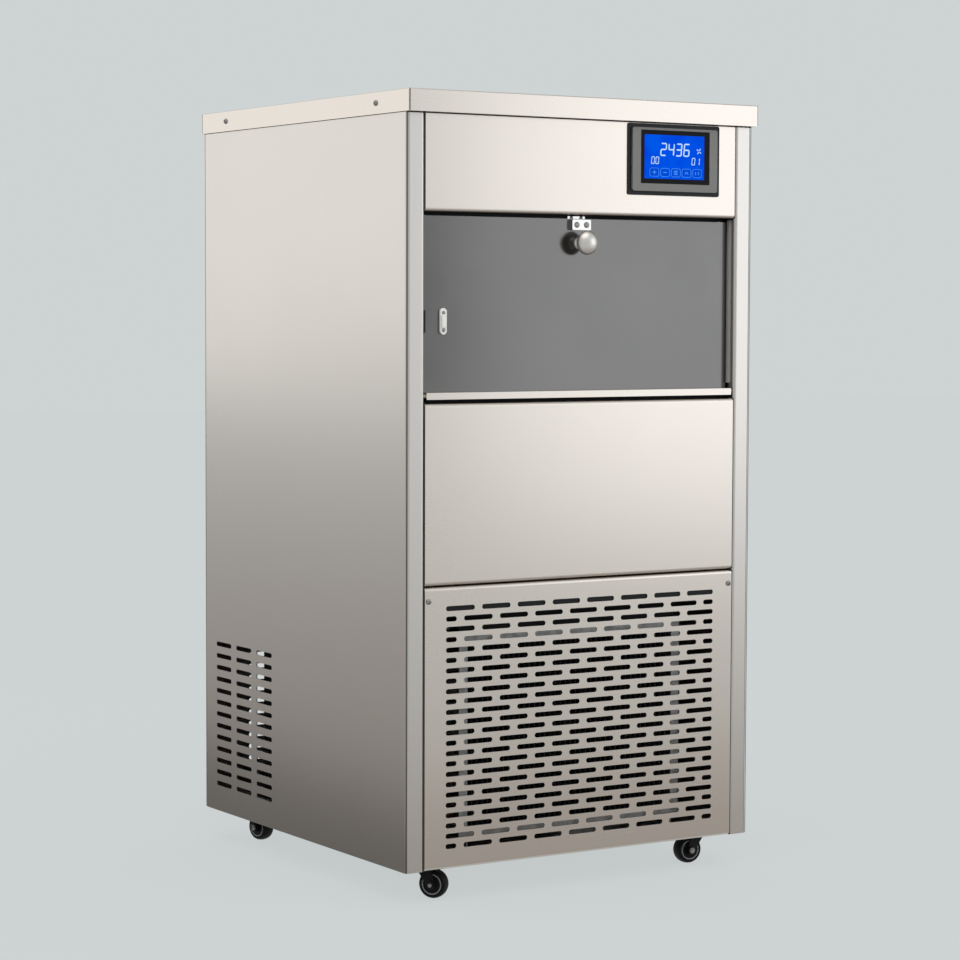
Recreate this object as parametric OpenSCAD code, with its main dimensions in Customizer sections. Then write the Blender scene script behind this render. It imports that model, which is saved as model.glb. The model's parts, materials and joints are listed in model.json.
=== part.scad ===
// Flake ice machine: self-contained floor cabinet with an ice bin behind a drop-down door,
// an upright auger evaporator at the rear and the condensing unit behind a slotted grille.
// Millimetres. Front faces -Y, +Z is up, the floor is z = 0.

/* [Cabinet] */
// Width across the side panels
body_w = 500; // [480:1:560]
// Depth from the front panels to the back panel
body_d = 523; // [510:1:600]
// Height from the lower edge of the panels to the underside of the top cover
body_h = 890; // [870:1:960]
// Gap between the floor and the lower edge of the panels
ground_gap = 39; // [38:0.5:48]
// Sheet thickness of the stainless panels
sheet_t = 1.2; // [0.8:0.1:1.5]
// Outside radius of the sheet bends
bend_r = 4; // [3:0.5:5]
// Width of the front posts that the side panels form
post_w = 24.5; // [22:0.5:28]
// Depth of the flange behind each front post
jamb_d = 13; // [12:0.5:13.5]
// Seam between a post and the front panels
seam = 0.8; // [0.4:0.1:1.2]
// Width of the rear flange of the side panels
rear_flange = 15; // [10:1:20]

/* [Top cover] */
// Height of the top cover's skirt
lid_h = 26; // [20:1:34]
// Overhang of the top cover past the front panels
lid_front = 10.5; // [6:0.5:13]
// Clearance between the skirt and the side panels
lid_gap = 1.2; // [0.6:0.1:2]
// Width of the open corner seam in the skirt
corner_slit = 0.8; // [0.4:0.1:1.2]
// Distance of the skirt screws from the front and back
lid_screw_inset = 68; // [40:1:100]

/* [Front panels] */
// Height of the control panel below the top cover
control_h = 114.3; // [105:0.5:130]
// Height of the middle panel
middle_h = 215; // [190:1:240]
// Height of the grille panel
grille_h = 336.6; // [310:0.5:360]
// Depth of the folded edges of the front panels
panel_fold = 12; // [8:1:13]

/* [Slots] */
// Length of a grille slot
slot_l = 40; // [30:1:50]
// Height of a grille slot
slot_h = 6; // [4:0.5:8]
// Distance from slot to slot along a row
slot_pitch = 50.2; // [46:0.2:60]
// Distance from row to row of the grille
row_pitch = 12.3; // [10:0.1:16]
// Least edge left beside the grille rows
grille_edge_x = 28; // [20:1:40]
// Least edge left above and below the grille rows
grille_edge_z = 26; // [20:1:40]
// Length of a side vent
vent_l = 42; // [30:1:46]
// Distance between the columns of side vents
vent_pitch = 56.3; // [50:0.1:60]
// Distance between the rows of side vents
vent_row = 15.4; // [12:0.1:18]
// Columns of side vents
vent_cols = 3; // [2:1:3]
// Rows of side vents
vent_rows = 13; // [8:1:13]
// Edge left behind the rearmost side vent
vent_edge = 32; // [24:1:40]
// Height of the lowest side vent above the panel's lower edge
vent_lift = 36.5; // [30:0.5:50]

/* [Display] */
// Width of the display's sealing frame
display_w = 138; // [130:1:150]
// Height of the display's sealing frame
display_h = 87; // [80:1:90]
// Distance of the display from the right post
display_inset = 26.5; // [20:0.5:40]
// Width of the sealing frame seen round the bezel
display_rim = 5; // [3:0.5:6]
// Width of the bezel round the lens
bezel_rim = 12; // [8:0.5:14]
// Distance that the bezel stands off the sealing frame
bezel_t = 3; // [2:0.5:5]
// Depth of the display's housing behind the panel
display_depth = 20; // [12:1:21]

/* [Door] */
// Gap above the door
door_gap = 4.7; // [3:0.1:6]
// Gap between the door and each post
door_side_gap = 3.2; // [2.6:0.1:4]
// Gap between the middle panel and the door's rail
rail_gap = 4.4; // [3.4:0.1:6]
// Height of the door's bottom rail
rail_h = 8; // [7:0.5:10]
// Thickness of the door's glazing
glass_t = 4; // [3:0.5:5]
// Distance of the glazing behind the front panels
glass_recess = 14; // [13.8:0.1:16]
// Distance of the hinge line behind the front panels
pivot_y = 7; // [6.5:0.1:7.5]
// Radius of the hinge pins
pin_r = 2.5; // [2:0.1:3]
// Diameter of the knob's head
knob_d = 29; // [24:1:34]
// Distance that the knob stands off the glazing
knob_l = 28; // [24:1:32]
// Distance of the knob below the door's top edge
knob_drop = 29; // [27:1:40]
// Width of the catch plate
catch_w = 27; // [22:1:32]
// Height of the catch plate
catch_h = 12.5; // [10:0.5:13]
// Thickness of the catch plate
catch_t = 6; // [4:0.5:7]
// Height of the switch magnet
magnet_l = 31; // [24:1:36]
// Width of the switch magnet
magnet_w = 9; // [7:0.5:11]
// Distance of the switch magnet from the door's left edge
magnet_inset = 29; // [20:1:40]

/* [Ice bin] */
// Depth left behind the bin for the ice maker
rear_bay = 193; // [185:1:220]
// Thickness of the bin's insulation
foam_t = 28; // [22:1:34]
// Thickness of the bin's liner
liner_t = 1.5; // [1:0.1:2.5]
// Thickness of the door's seal
seal_t = 3; // [2:0.2:4]
// Width of the door's seal
seal_w = 7; // [6:0.5:8]
// Width of the bin's mouth rim beside the opening
mouth_rim = 21.5; // [18:0.5:26]

/* [Ice maker] */
// Inside radius of the freezing cylinder
barrel_r = 45; // [40:1:50]
// Wall of the freezing cylinder
barrel_t = 5; // [4:0.5:7]
// Radius of the insulating jacket
jacket_r = 74; // [66:1:78]
// Radius of the auger's core
core_r = 25; // [20:1:30]
// Turns of the auger's flight
flight_turns = 6; // [4:1:8]
// Thickness of the auger's flight
flight_t = 7; // [5:0.5:9]
// Radius of the auger's journals
journal_r = 12; // [10:0.5:14]
// Distance of the ice maker's axis from the back
maker_inset = 98; // [96:1:100]
// Distance of the ice maker's axis from the middle, to the left
maker_x = 115; // [105:1:125]
// Height of the stand under the freezing cylinder
stand_h = 266; // [262:1:280]
// Width of the ice chute
chute_w = 84; // [70:1:88]
// Height of the ice chute
chute_h = 66; // [50:1:70]

/* [Condensing unit] */
// Width of the condenser's core
cond_w = 300; // [270:1:340]
// Height of the condenser's core
cond_h = 227; // [222:1:234]
// Depth of the condenser's core
cond_d = 46; // [40:1:54]
// Distance of the condenser behind the front panels
cond_recess = 25; // [22:1:34]
// Distance between the condenser's fins
fin_pitch = 7.5; // [6:0.5:10]
// Thickness of a fin
fin_t = 0.8; // [0.6:0.1:1.2]
// Radius of the condenser's tube
tube_r = 4.75; // [4:0.25:6]
// Runs of tube across the condenser
tube_runs = 8; // [6:2:8]
// Radius of the fan
fan_r = 100; // [85:1:103]
// Blades of the fan
fan_blades = 5; // [3:1:7]
// Radius of the fan's motor
fan_motor_r = 38; // [30:1:44]
// Radius of the compressor's shell
comp_r = 76; // [66:1:82]
// Height of the compressor's shell
comp_h = 185; // [150:1:200]

/* [Casters] */
// Radius of the wheels
wheel_r = 17.5; // [15:0.5:17.5]
// Width of the wheels
wheel_w = 16; // [12:0.5:18]
// Distance from the swivel to the axle
trail = 16; // [14:0.5:18]
// Distance of the swivels from the sides
caster_side = 45; // [42:1:60]
// Distance of the front swivels from the front
caster_front = 40; // [38:1:60]
// Distance of the rear swivels from the back
caster_rear = 50; // [45:1:60]

/* [Services] */
// Radius of the water inlet's thread
inlet_r = 13.2; // [10:0.1:14]
// Radius of the drain's outlet
drain_r = 9; // [7:0.5:11]
// Radius of the cable gland's bore
gland_r = 5; // [3.5:0.5:6]
// Length of the fittings behind the back panel
fitting_l = 18; // [14:1:24]

/* [Hidden] */
$fn = 48;

steel = [0.80, 0.79, 0.76];
dark_plastic = [0.06, 0.06, 0.07];
copper = [0.72, 0.42, 0.28];
white_plastic = [0.92, 0.92, 0.90];

// Clearances between pieces
face_gap = 0.3;
run_gap = 0.05;
side_gap = 0.5;
cut = 1;

// Reach of the bounding box, so that the origin lies at the middle of the footprint
front_reach = max(knob_l - glass_recess, lid_front);
front_y = -(body_d + fitting_l - front_reach) / 2;

// Main levels
half_w = body_w / 2;
z_low = ground_gap;
z_seam = z_low + grille_h;
z_mid = z_seam + middle_h;
z_lid = z_low + body_h;
z_ctrl = z_lid - control_h;
z_top = z_lid + lid_h;
post_x = half_w - post_w;
panel_x = post_x - seam;
side_d = body_d - sheet_t;

// Base pan
pan_t = 1.5;
pan_lift = 17.5;
pan_skirt_lift = 2;
pan_top = z_low + pan_lift;
pan_x = half_w - sheet_t - face_gap;
pan_y0 = jamb_d + side_gap;
pan_y1 = side_d - bend_r - face_gap;

// Top cover, back panel and grille
lid_screw_z = z_lid + lid_h / 2;
screw_hole_r = 2.2;
back_vent_rows = 10;
back_vent_cols = 2;
back_vent_lift = 60;
back_vent_x = 165;
grille_cols = floor((2 * panel_x - 2 * grille_edge_x - slot_l) / slot_pitch) + 1;
grille_rows = floor((grille_h - 2 * grille_edge_z) / row_pitch) + 1;
grille_zm = z_low + grille_h / 2;
short_l = slot_l / 2 - (slot_pitch - slot_l) / 2;
grille_screw_inset = 5;
grille_screw_x = panel_x - grille_screw_inset;
grille_screw_drop = 17.4;
grille_screw_z = z_seam - grille_screw_drop;
screw_r = 2;
grille_head_r = 3.4;
grille_screw_l = 8;
lid_head_r = 3;
lid_screw_l = 7;

// Rail behind the joint of the middle and grille panels
cross_t = 1.5;
cross_h = 32;
cross_y = sheet_t + face_gap;
cross_high = z_seam - seam - bend_r - side_gap;
cross_low = cross_high - cross_h;

// Door levels
door_x = post_x - door_side_gap;
door_z0 = z_mid + rail_gap;
door_z1 = z_ctrl - door_gap;
rail_top = door_z0 + rail_h;
rail_ledge = 2;
rail_y0 = 1;
pivot_z = door_z0 + rail_h / 2;
glass_back = glass_recess + glass_t;
knob_z = door_z1 - knob_drop;
catch_drop = 1;
catch_z = door_z1 - catch_drop - catch_h / 2;
catch_screw_x = 7;
magnet_drop = 16;
magnet_z = (door_z0 + door_z1) / 2 - magnet_drop;
magnet_x = -door_x + magnet_inset;
magnet_t = 4.5;
magnet_screw = 10.25;
magnet_base_t = 3;
magnet_screw_r = 1.2;
magnet_head_r = 2.3;
knob_bolt_r = 2.5;
catch_screw_r = 1.5;
catch_head_r = 3.7;
pin_end = 2;
pin_reach = door_side_gap + sheet_t + pin_end;

// Bin levels
seal_y = glass_back + face_gap;
rim_y = seal_y + seal_t;
foam_y0 = rim_y + liner_t;
foam_y1 = body_d - rear_bay;
foam_side_gap = 2.3;
foam_x = half_w - sheet_t - foam_side_gap;
bin_lift = 10;
bin_rise = 36;
board_gap = 0.2;
foam_z0 = z_seam + bin_lift;
foam_z1 = z_ctrl + bin_rise;
liner_x = foam_x - foam_t;
liner_y0 = foam_y0 + foam_t;
liner_y1 = foam_y1 - foam_t;
liner_z0 = foam_z0 + foam_t;
liner_z1 = foam_z1 - foam_t;
mouth_x = post_x - mouth_rim;
seal_lip = 1;
rim_drop = 1.5;
seal_lift = 2.6;
seal_drop = 4;
mouth_z0 = rail_top + seal_lift + seal_w + seal_lip;
mouth_z1 = z_ctrl - seal_drop - seal_w - seal_lip;
rim_x = mouth_x + 19;
rim_lift = 2;
keeper_w = 25;
keeper_t = 1.2;
keeper_y = rim_y - keeper_t;
keeper_screw_z = door_z1 + 1;
keeper_screw_r = 1.2;
keeper_head_r = 2.6;
switch_t = 2;
switch_h = 26;
switch_y0 = 2;
switch_screw = 9;
switch_screw_r = 1.6;

// Display
display_x = panel_x - display_inset - display_w / 2 + seam;
display_lift = 12;
display_z = z_ctrl + control_h / 2 + display_lift;
display_gasket_t = 1.5;
bezel_w = display_w - 2 * display_rim;
bezel_h = display_h - 2 * display_rim;
lens_w = bezel_w - 2 * bezel_rim;
lens_h = bezel_h - bezel_rim;
lens_drop = 1;
lens_lift = 3.2;
screen_z = display_z + lens_lift;
lens_t = 2;
lens_room = 0.1;
display_corner = 2.8;
neck_inset = 5;
box_w = 210;
box_d = 150;
box_h = 62;
box_y = 60;
box_lip = 3;
box_lip_h = 12;
box_rise = 2;
box_hole_r = 9;
box_hole_z = 24;
box_hole_x = 60;

// Ice maker levels
maker_y = body_d - maker_inset;
stand_top = pan_top + stand_h;
stand_plate = 6;
chute_t = 1.5;
chute_drop = 40;
chute_out = 4;
chute_z = liner_z1 - chute_drop - chute_h / 2;
chute_end = liner_y1 - liner_t - chute_out;
chute_room = 0.5;
head_lift = 18;
head_cap = 22;
head_wall = 10;
head_r = barrel_r + barrel_t + head_wall;
head_z0 = chute_z - chute_h / 2 - chute_t - head_lift;
head_h = chute_h + 2 * chute_t + head_lift + head_cap;
barrel_z0 = stand_top;
barrel_end = 18;
barrel_flange_t = 8;
jacket_low = 34;
jacket_high = 12;
jacket_edge = 5;
flight_gap = 0.6;
flight_inset = 2;
flight_root = 3;
auger_lift = 2;
auger_z0 = barrel_z0 + barrel_end + auger_lift;
flight_top = head_z0 + auger_lift;
auger_top_gap = 4;
auger_top = head_z0 + head_h - auger_top_gap;
bush_t = 8;
bush_r = journal_r + bush_t;
coupling_t = 9;
coupling_r = journal_r + coupling_t;
coupling_l = 34;
coupling_gap = 4;
coupling_z1 = stand_top - stand_plate - coupling_gap;
coupling_z0 = coupling_z1 - coupling_l;
gear_w = 116;
gear_d = 104;
gear_h = 84;
gear_gap = 6;
gear_z1 = coupling_z0 - gear_gap;
gear_z0 = gear_z1 - gear_h;
gear_corner = 12;
gear_rib_w = 12;
gear_rib_d = 6;
gear_rib_z = gear_z0 + gear_h * 0.42;
gear_rib_h = gear_h * 0.16;
motor_r = 46;
motor_edge = 10;
motor_lift = 10;
motor_z0 = pan_top + motor_lift;
shaft_socket = 36;
shaft_gap = 2;
stand_room = 10;
stand_x = gear_w / 2 + stand_room;
stand_foot = 16;
stand_ledge = 2;
stand_hole_room = 4;
stand_cheek = 4;
stand_d = 110;

// Water tank
tank_w = 130;
tank_d = 104;
tank_h = 104;
tank_t = 3;
tank_x = 140;
tank_drop = 88;
tank_z0 = head_z0 - tank_drop;
spout_x = tank_x - 40;
spout_y = foam_y1 + tank_d / 2;
spout_l = 10;
spout_r = 9;
spout_bore_r = 6;
hose_r = 7;
hose_lift = 24;
valve_x = tank_x + 30;
valve_z = tank_z0 + tank_h - 16;
valve_r = 7;
valve_flange = 3;
valve_flange_t = 4;
lug_x = 5;
lug_t = 3;
lug_h = 10;
lug_y = 5;
arm_pin_l = 16;
arm_r = 2;
rod_r = 1.6;
arm_step = 27.6;
arm_back = 12;
arm_y = foam_y1 + tank_d - tank_t - arm_back;
float_r = 17;
float_l = 34;
float_edge = 4;

// Condensing unit levels
cond_lift = 21.5;
cond_z0 = pan_top + cond_lift;
cond_frame_t = 1.5;
cond_flange = 12;
cond_x = cond_w / 2;
cond_back = cond_recess + cond_d;
cond_zm = cond_z0 + cond_h / 2;
tube_gap = 0.4;
tube_y = cond_recess + cond_d / 2;
fin_edge = 2;
bend_step = 0.5;
run_pitch = cond_h / tube_runs;
tube_out = 8;
shroud_r = fan_r + 5;
shroud_l = 28;
shroud_t = 2;
blade_pitch = 28;
blade_t = 1.5;
blade_w = 52;
blade_root = 3;
fan_depth = 22;
fan_hub_r = 22;
fan_gap = 4;
fan_y = cond_back + cond_frame_t + fan_gap;
fan_shaft_r = 4;
fan_shaft_in = 20;
motor_gap = 10;
motor_y = fan_y + fan_depth + motor_gap;
fan_motor_l = 58;
fan_motor_edge = 6;
bracket_step = 16;
bracket_y = motor_y + bracket_step;
bracket_foot = 44;
bracket_rise = 12;
bracket_hole_x = 24;
bracket_hole_y = 26;
bracket_hole_r = 3;
bracket_t = 3;
bracket_x = fan_motor_r + 14;
comp_x = 115;
comp_inset = 132;
comp_y = body_d - comp_inset;
comp_foot_h = 10;
comp_foot_x = 82;
comp_foot_y = 58;
comp_plate_t = 4;
comp_corner = 17;
foot_neck_r = 6;
foot_cap_t = 4;
weld_t = 3;
relay_w = 60;
relay_out = 16;
relay_z = 50;
comp_z0 = pan_top + comp_foot_h + comp_plate_t;
line_r = 4;
capillary_r = 2.5;
stub_l = 14;
stub_t = 1.5;
discharge_z = comp_z0 + 40;
suction_rise = 64;
suction_stub_z = comp_z0 + suction_rise;
drier_r = 14;
drier_l = 96;
drier_taper = 14;
line_back = 50;

// Services
inlet_x = valve_x;
inlet_z = valve_z;
inlet_flange = 3;
inlet_flange_t = 8;
inlet_neck = 2;
inlet_wall = 4;
inlet_pipe_r = 5;
inlet_pipe_y = foam_y1 + tank_d + 6;
fitting_floor = 2;
drain_side = 45;
drain_x = half_w - drain_side;
drain_drop = 40;
drain_z = foam_z0 - drain_drop;
drain_y = 200;
drain_run = 60;
drain_jog = 25;
drain_in_x = drain_x - drain_jog;
drain_step = 0.5;
drain_wall = 2;
drain_flange = 4;
gland_x = 60;
gland_rise = 250;
gland_z = pan_top + gland_rise;
gland_hex = 13;
gland_hex_l = 6;
gland_neck = 4;
gland_nut = 8;
gland_nut_t = 6;
gland_cap = 5.5;
gland_cap_step = 1;
gland_tip = 2;

// Casters: place of each swivel and the way that its wheel trails
caster_x = half_w - caster_side;
caster_back = body_d - caster_rear;
trail_fl = 308;
trail_fr = 175;
trail_rl = 283;
trail_rr = 230;
plate_w = 44;
plate_t = 2;
plate_corner = 5;
plate_z = pan_top - pan_t;
cup_r = 14;
cup_h = 5;
king_r = 4;
crown_t = 2;
crown_z = plate_z - plate_t - cup_h - face_gap - crown_t;
fork_t = 2;
fork_gap = 0.7;
fork_x = wheel_w / 2 + fork_gap;
axle_r = 3;
axle_eye = 3;
bolt_t = 3;
bolt_r = axle_r + 2;
groove = 0.6;

// Places a piece, modelled from the front plane, in the part's own frame
module placed() {
    translate([0, front_y, 0]) children();
}

// Folded sheet: outer face as a line of points with the sheet on its left, bends as arcs
function unit(v) = v / norm(v);
function left_of(v) = [-v[1], v[0]];
function turn(u, w) = sign(u[0] * w[1] - u[1] * w[0]);
function bend_angle(u, w) = acos(max(-1, min(1, u * w)));
function bend_arc(b, u, w, d, steps = 6) =
    let (
        s = turn(u, w),
        r = s > 0 ? bend_r : bend_r - sheet_t,
        reach = r * tan(bend_angle(u, w) / 2),
        centre = b - u * reach + left_of(u) * r * s,
        from = -left_of(u) * s,
        along = u
    )
    [for (i = [0 : steps])
        let (a = bend_angle(u, w) * i / steps)
        centre + (r - s * d) * (from * cos(a) + along * sin(a))];
function fold_face(p, d) =
    let (last = len(p) - 1)
    concat(
        [p[0] + left_of(unit(p[1] - p[0])) * d],
        [for (i = [1 : last - 1]) each bend_arc(p[i], unit(p[i] - p[i - 1]), unit(p[i + 1] - p[i]), d)],
        [p[last] + left_of(unit(p[last] - p[last - 1])) * d]
    );
function reversed(p) = [for (i = [len(p) - 1 : -1 : 0]) p[i]];
module folded(p, t = sheet_t) {
    polygon(concat(fold_face(p, 0), reversed(fold_face(p, t))));
}

// Extrudes a profile drawn in (y, z) along X, centred
module along_x(w) {
    translate([-w / 2, 0, 0]) rotate([90, 0, 90]) linear_extrude(w) children();
}

// Extrudes a profile drawn in (x, z) along +Y from the given place
module along_y(y, l) {
    translate([0, y + l, 0]) rotate([90, 0, 0]) linear_extrude(l) children();
}

// Cylinder along +Y
module bar_y(x, y, z, r, l) {
    translate([x, y, z]) rotate([-90, 0, 0]) cylinder(h = l, r = r);
}

// Box between two corners
module block(a, b) {
    translate(a) cube(b - a);
}

// Round rod between two points
module rod(a, b, r) {
    v = b - a;
    l = norm(v);
    translate(a) rotate([0, acos(v[2] / l), atan2(v[1], v[0])]) cylinder(h = l, r = r);
}

// Tube line through points, with a socketed elbow at each turn
module line(p, r, elbow = 0.4) {
    for (i = [0 : len(p) - 2]) rod(p[i], p[i + 1], r);
    for (i = [1 : 1 : len(p) - 2]) translate(p[i]) sphere(r + elbow);
}

// Slot with round ends
module slot(l, h) {
    square([l - h, h], center = true);
    for (s = [-1, 1]) translate([s * (l - h) / 2, 0]) circle(d = h);
}

// Rectangle with round corners
module soft_rect(w, h, r) {
    square([w - 2 * r, h], center = true);
    square([w, h - 2 * r], center = true);
    for (x = [-1, 1], y = [-1, 1]) translate([x * (w / 2 - r), y * (h / 2 - r)]) circle(r);
}

// Pan-head screw that points along +Y, with its head's seat at y = 0
module screw_y(head_r, shank_r, l) {
    rotate([-90, 0, 0]) cylinder(h = l, r = shank_r);
    rotate([90, 0, 0]) rotate_extrude() polygon([
        [0, 0], [head_r, 0], [head_r, head_r * 0.3], [head_r * 0.75, head_r * 0.55], [0, head_r * 0.65]
    ]);
}

// Cabinet

module base_pan() {
    color(steel) difference() {
        block([-pan_x, pan_y0, z_low + pan_skirt_lift], [pan_x, pan_y1, pan_top]);
        block([-pan_x + pan_t, pan_y0 + pan_t, z_low], [pan_x - pan_t, pan_y1 - pan_t, pan_top - pan_t]);
    }
}

module side_vents() {
    for (c = [0 : vent_cols - 1], r = [0 : vent_rows - 1])
        translate([side_d - vent_edge - vent_l / 2 - c * vent_pitch, z_low + vent_lift + r * vent_row])
            slot(vent_l, slot_h);
}

module side_panel() {
    pin_room = pin_r + run_gap;
    difference() {
        translate([0, 0, z_low]) linear_extrude(z_top - sheet_t - z_low) folded([
            [-half_w + rear_flange, side_d], [-half_w, side_d], [-half_w, 0], [-post_x, 0], [-post_x, jamb_d]
        ]);
        translate([-half_w - cut, 0, 0]) rotate([90, 0, 90]) linear_extrude(sheet_t + 2 * cut) side_vents();
        translate([-post_x - sheet_t - cut, pivot_y, pivot_z])
            rotate([0, 90, 0]) cylinder(h = sheet_t + 2 * cut, r = pin_room);
        for (y = [lid_screw_inset, body_d - lid_screw_inset])
            translate([-half_w - cut, y, lid_screw_z]) rotate([0, 90, 0])
                cylinder(h = 2 * cut + sheet_t, r = screw_hole_r);
    }
}

module left_side_panel() {
    color(steel) side_panel();
}

module right_side_panel() {
    color(steel) mirror([1, 0, 0]) side_panel();
}

module back_panel() {
    color(steel) difference() {
        block([-half_w + seam, side_d, z_low], [half_w - seam, body_d, z_lid - face_gap]);
        along_y(side_d - cut, sheet_t + 2 * cut) {
            for (c = [0 : back_vent_cols - 1], r = [0 : back_vent_rows - 1])
                translate([-back_vent_x + c * vent_pitch, z_low + back_vent_lift + r * vent_row])
                    slot(vent_l, slot_h);
            translate([inlet_x, inlet_z]) circle(inlet_r - inlet_neck);
            translate([drain_x, drain_z]) circle(drain_r + side_gap);
            translate([gland_x, gland_z]) circle(gland_r + gland_neck);
        }
    }
}

module lid_form(x, y0, y1, z, r) {
    intersection() {
        translate([0, y1, 0]) rotate([90, 0, 0]) linear_extrude(y1 - y0) intersection() {
            translate([0, z - lid_h]) soft_rect(2 * x, 2 * lid_h, r);
            translate([-x, z_lid - cut]) square([2 * x, lid_h + cut]);
        }
        along_x(2 * x) intersection() {
            translate([(y0 + y1) / 2, z - lid_h]) soft_rect(y1 - y0, 2 * lid_h, r);
            translate([y0, z_lid - cut]) square([y1 - y0, lid_h + cut]);
        }
    }
}

module top_cover() {
    lid_x = half_w + lid_gap + sheet_t;
    fold = sheet_t + face_gap;
    slit_y = sheet_t - lid_front + corner_slit / 2;
    color(steel) {
        difference() {
            lid_form(lid_x, -lid_front, body_d, z_top, fold);
            lid_form(lid_x - sheet_t, sheet_t - lid_front, body_d - sheet_t, z_top - sheet_t, face_gap);
            block([-lid_x - cut, -lid_front - cut, z_lid - 2 * cut], [lid_x + cut, body_d + cut, z_lid]);
            for (s = [-1, 1]) {
                translate([s * (lid_x - sheet_t / 2), slit_y, lid_screw_z - fold])
                    cube([2 * sheet_t, corner_slit, lid_h], center = true);
                for (y = [lid_screw_inset, body_d - lid_screw_inset])
                    translate([s * lid_x, y, lid_screw_z]) rotate([0, 90, 0])
                        cylinder(h = 6 * sheet_t, r = screw_hole_r, center = true);
            }
        }
        block([-half_w, sheet_t - lid_front, z_lid], [half_w, -side_gap, z_lid + sheet_t]);
    }
}

module front_sheet(z0, z1, low_fold, high_fold) {
    low = low_fold ? [[panel_fold, z0]] : [];
    high = high_fold ? [[panel_fold, z1]] : [];
    along_x(2 * panel_x) folded(concat(high, [[0, z1], [0, z0]], low));
}

module side_folds(z0, z1) {
    for (s = [-1, 1]) translate([s * (panel_x - sheet_t / 2), (sheet_t + panel_fold) / 2, (z0 + z1) / 2])
        cube([sheet_t, panel_fold - sheet_t, z1 - z0], center = true);
}

module control_panel() {
    panel_top = z_top - sheet_t - side_gap;
    color(steel) difference() {
        union() {
            front_sheet(z_ctrl, panel_top, true, false);
            side_folds(z_ctrl + bend_r, panel_top);
        }
        along_y(-cut, 2 * cut + sheet_t) translate([display_x, screen_z])
            square([bezel_w - 2 * neck_inset, bezel_h - 2 * neck_inset], center = true);
    }
}

module middle_panel() {
    color(steel) {
        front_sheet(z_seam + seam, z_mid, true, true);
        side_folds(z_seam + seam + bend_r, z_mid - bend_r);
    }
}

module grille_row(r) {
    odd = r % 2;
    row_w = (grille_cols - 1) * slot_pitch + slot_l;
    for (c = [0 : grille_cols - 1 - odd])
        translate([(c - (grille_cols - 1 - odd) / 2) * slot_pitch, 0]) slot(slot_l, slot_h);
    if (odd) for (s = [-1, 1]) translate([s * (row_w - short_l) / 2, 0]) slot(short_l, slot_h);
}

module grille_panel() {
    color(steel) difference() {
        front_sheet(z_low, z_seam - seam, true, true);
        along_y(-cut, 2 * cut + sheet_t) {
            for (r = [0 : grille_rows - 1])
                translate([0, grille_zm + ((grille_rows - 1) / 2 - r) * row_pitch]) grille_row(r);
            for (s = [-1, 1]) translate([s * grille_screw_x, grille_screw_z]) circle(screw_hole_r);
        }
    }
}

module cross_rail() {
    x = post_x - face_gap;
    color(dark_plastic) difference() {
        along_x(2 * x) polygon([
            [cross_y, cross_low], [cross_y + cross_t, cross_low], [cross_y + cross_t, cross_high - cross_t],
            [jamb_d, cross_high - cross_t], [jamb_d, cross_high], [cross_y, cross_high]
        ]);
        for (s = [-1, 1]) bar_y(s * grille_screw_x, 0, grille_screw_z, screw_hole_r, cross_y + 2 * cross_t);
    }
}

module panel_screws() {
    color([0.35, 0.35, 0.36]) for (s = [-1, 1]) {
        translate([s * grille_screw_x, 0, grille_screw_z]) screw_y(grille_head_r, screw_r, grille_screw_l);
        for (y = [lid_screw_inset, body_d - lid_screw_inset])
            translate([s * (half_w + lid_gap + sheet_t), y, lid_screw_z]) rotate([0, 0, s * 90])
                screw_y(lid_head_r, screw_r, lid_screw_l);
        translate([s * catch_screw_x, keeper_y, keeper_screw_z])
            screw_y(keeper_head_r, keeper_screw_r, keeper_t);
    }
}

// Display and controls

module display_gasket() {
    color(dark_plastic) along_y(-display_gasket_t, display_gasket_t)
        difference() {
            translate([display_x, display_z]) soft_rect(display_w, display_h, display_corner);
            translate([display_x, screen_z])
                square([bezel_w - 2 * neck_inset, bezel_h - 2 * neck_inset], center = true);
        }
}

module display_bezel() {
    y0 = -display_gasket_t - bezel_t;
    neck = [bezel_w - 2 * neck_inset - side_gap, bezel_h - 2 * neck_inset - side_gap];
    color([0.42, 0.43, 0.42]) difference() {
        union() {
            along_y(y0, bezel_t) translate([display_x, display_z])
                soft_rect(bezel_w, bezel_h, display_corner);
            along_y(y0, bezel_t + display_gasket_t + display_depth) translate([display_x, screen_z])
                square(neck, center = true);
        }
        along_y(y0 - cut, cut + lens_drop + lens_t) translate([display_x, screen_z])
            square([lens_w, lens_h], center = true);
    }
}

module display_lens() {
    color([0.05, 0.25, 0.85]) along_y(-display_gasket_t - bezel_t + lens_drop, lens_t)
        translate([display_x, screen_z])
            square([lens_w - 2 * lens_room, lens_h - 2 * lens_room], center = true);
}

module control_box() {
    x = box_w / 2;
    y0 = foam_y0 + box_y;
    y1 = y0 + box_d;
    z1 = foam_z1 + box_h + box_rise;
    color([0.75, 0.76, 0.77]) difference() {
        union() {
            block([-x, y0, foam_z1], [x, y1, foam_z1 + box_h]);
            block([-x - box_lip, y0 - box_lip, z1 - box_lip_h], [x + box_lip, y1 + box_lip, z1]);
        }
        for (i = [-1 : 1])
            bar_y(i * box_hole_x, y1 - 2 * box_lip, foam_z1 + box_hole_z, box_hole_r, 4 * box_lip);
    }
}

// Ice bin

module bin_mouth(grow, y0, y1) {
    block([-mouth_x - grow, y0, mouth_z0 - grow], [mouth_x + grow, y1, mouth_z1 + grow]);
}

module chute_form(grow, y0, y1) {
    block(
        [-maker_x - chute_w / 2 - grow, y0, chute_z - chute_h / 2 - grow],
        [-maker_x + chute_w / 2 + grow, y1, chute_z + chute_h / 2 + grow]
    );
}

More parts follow.
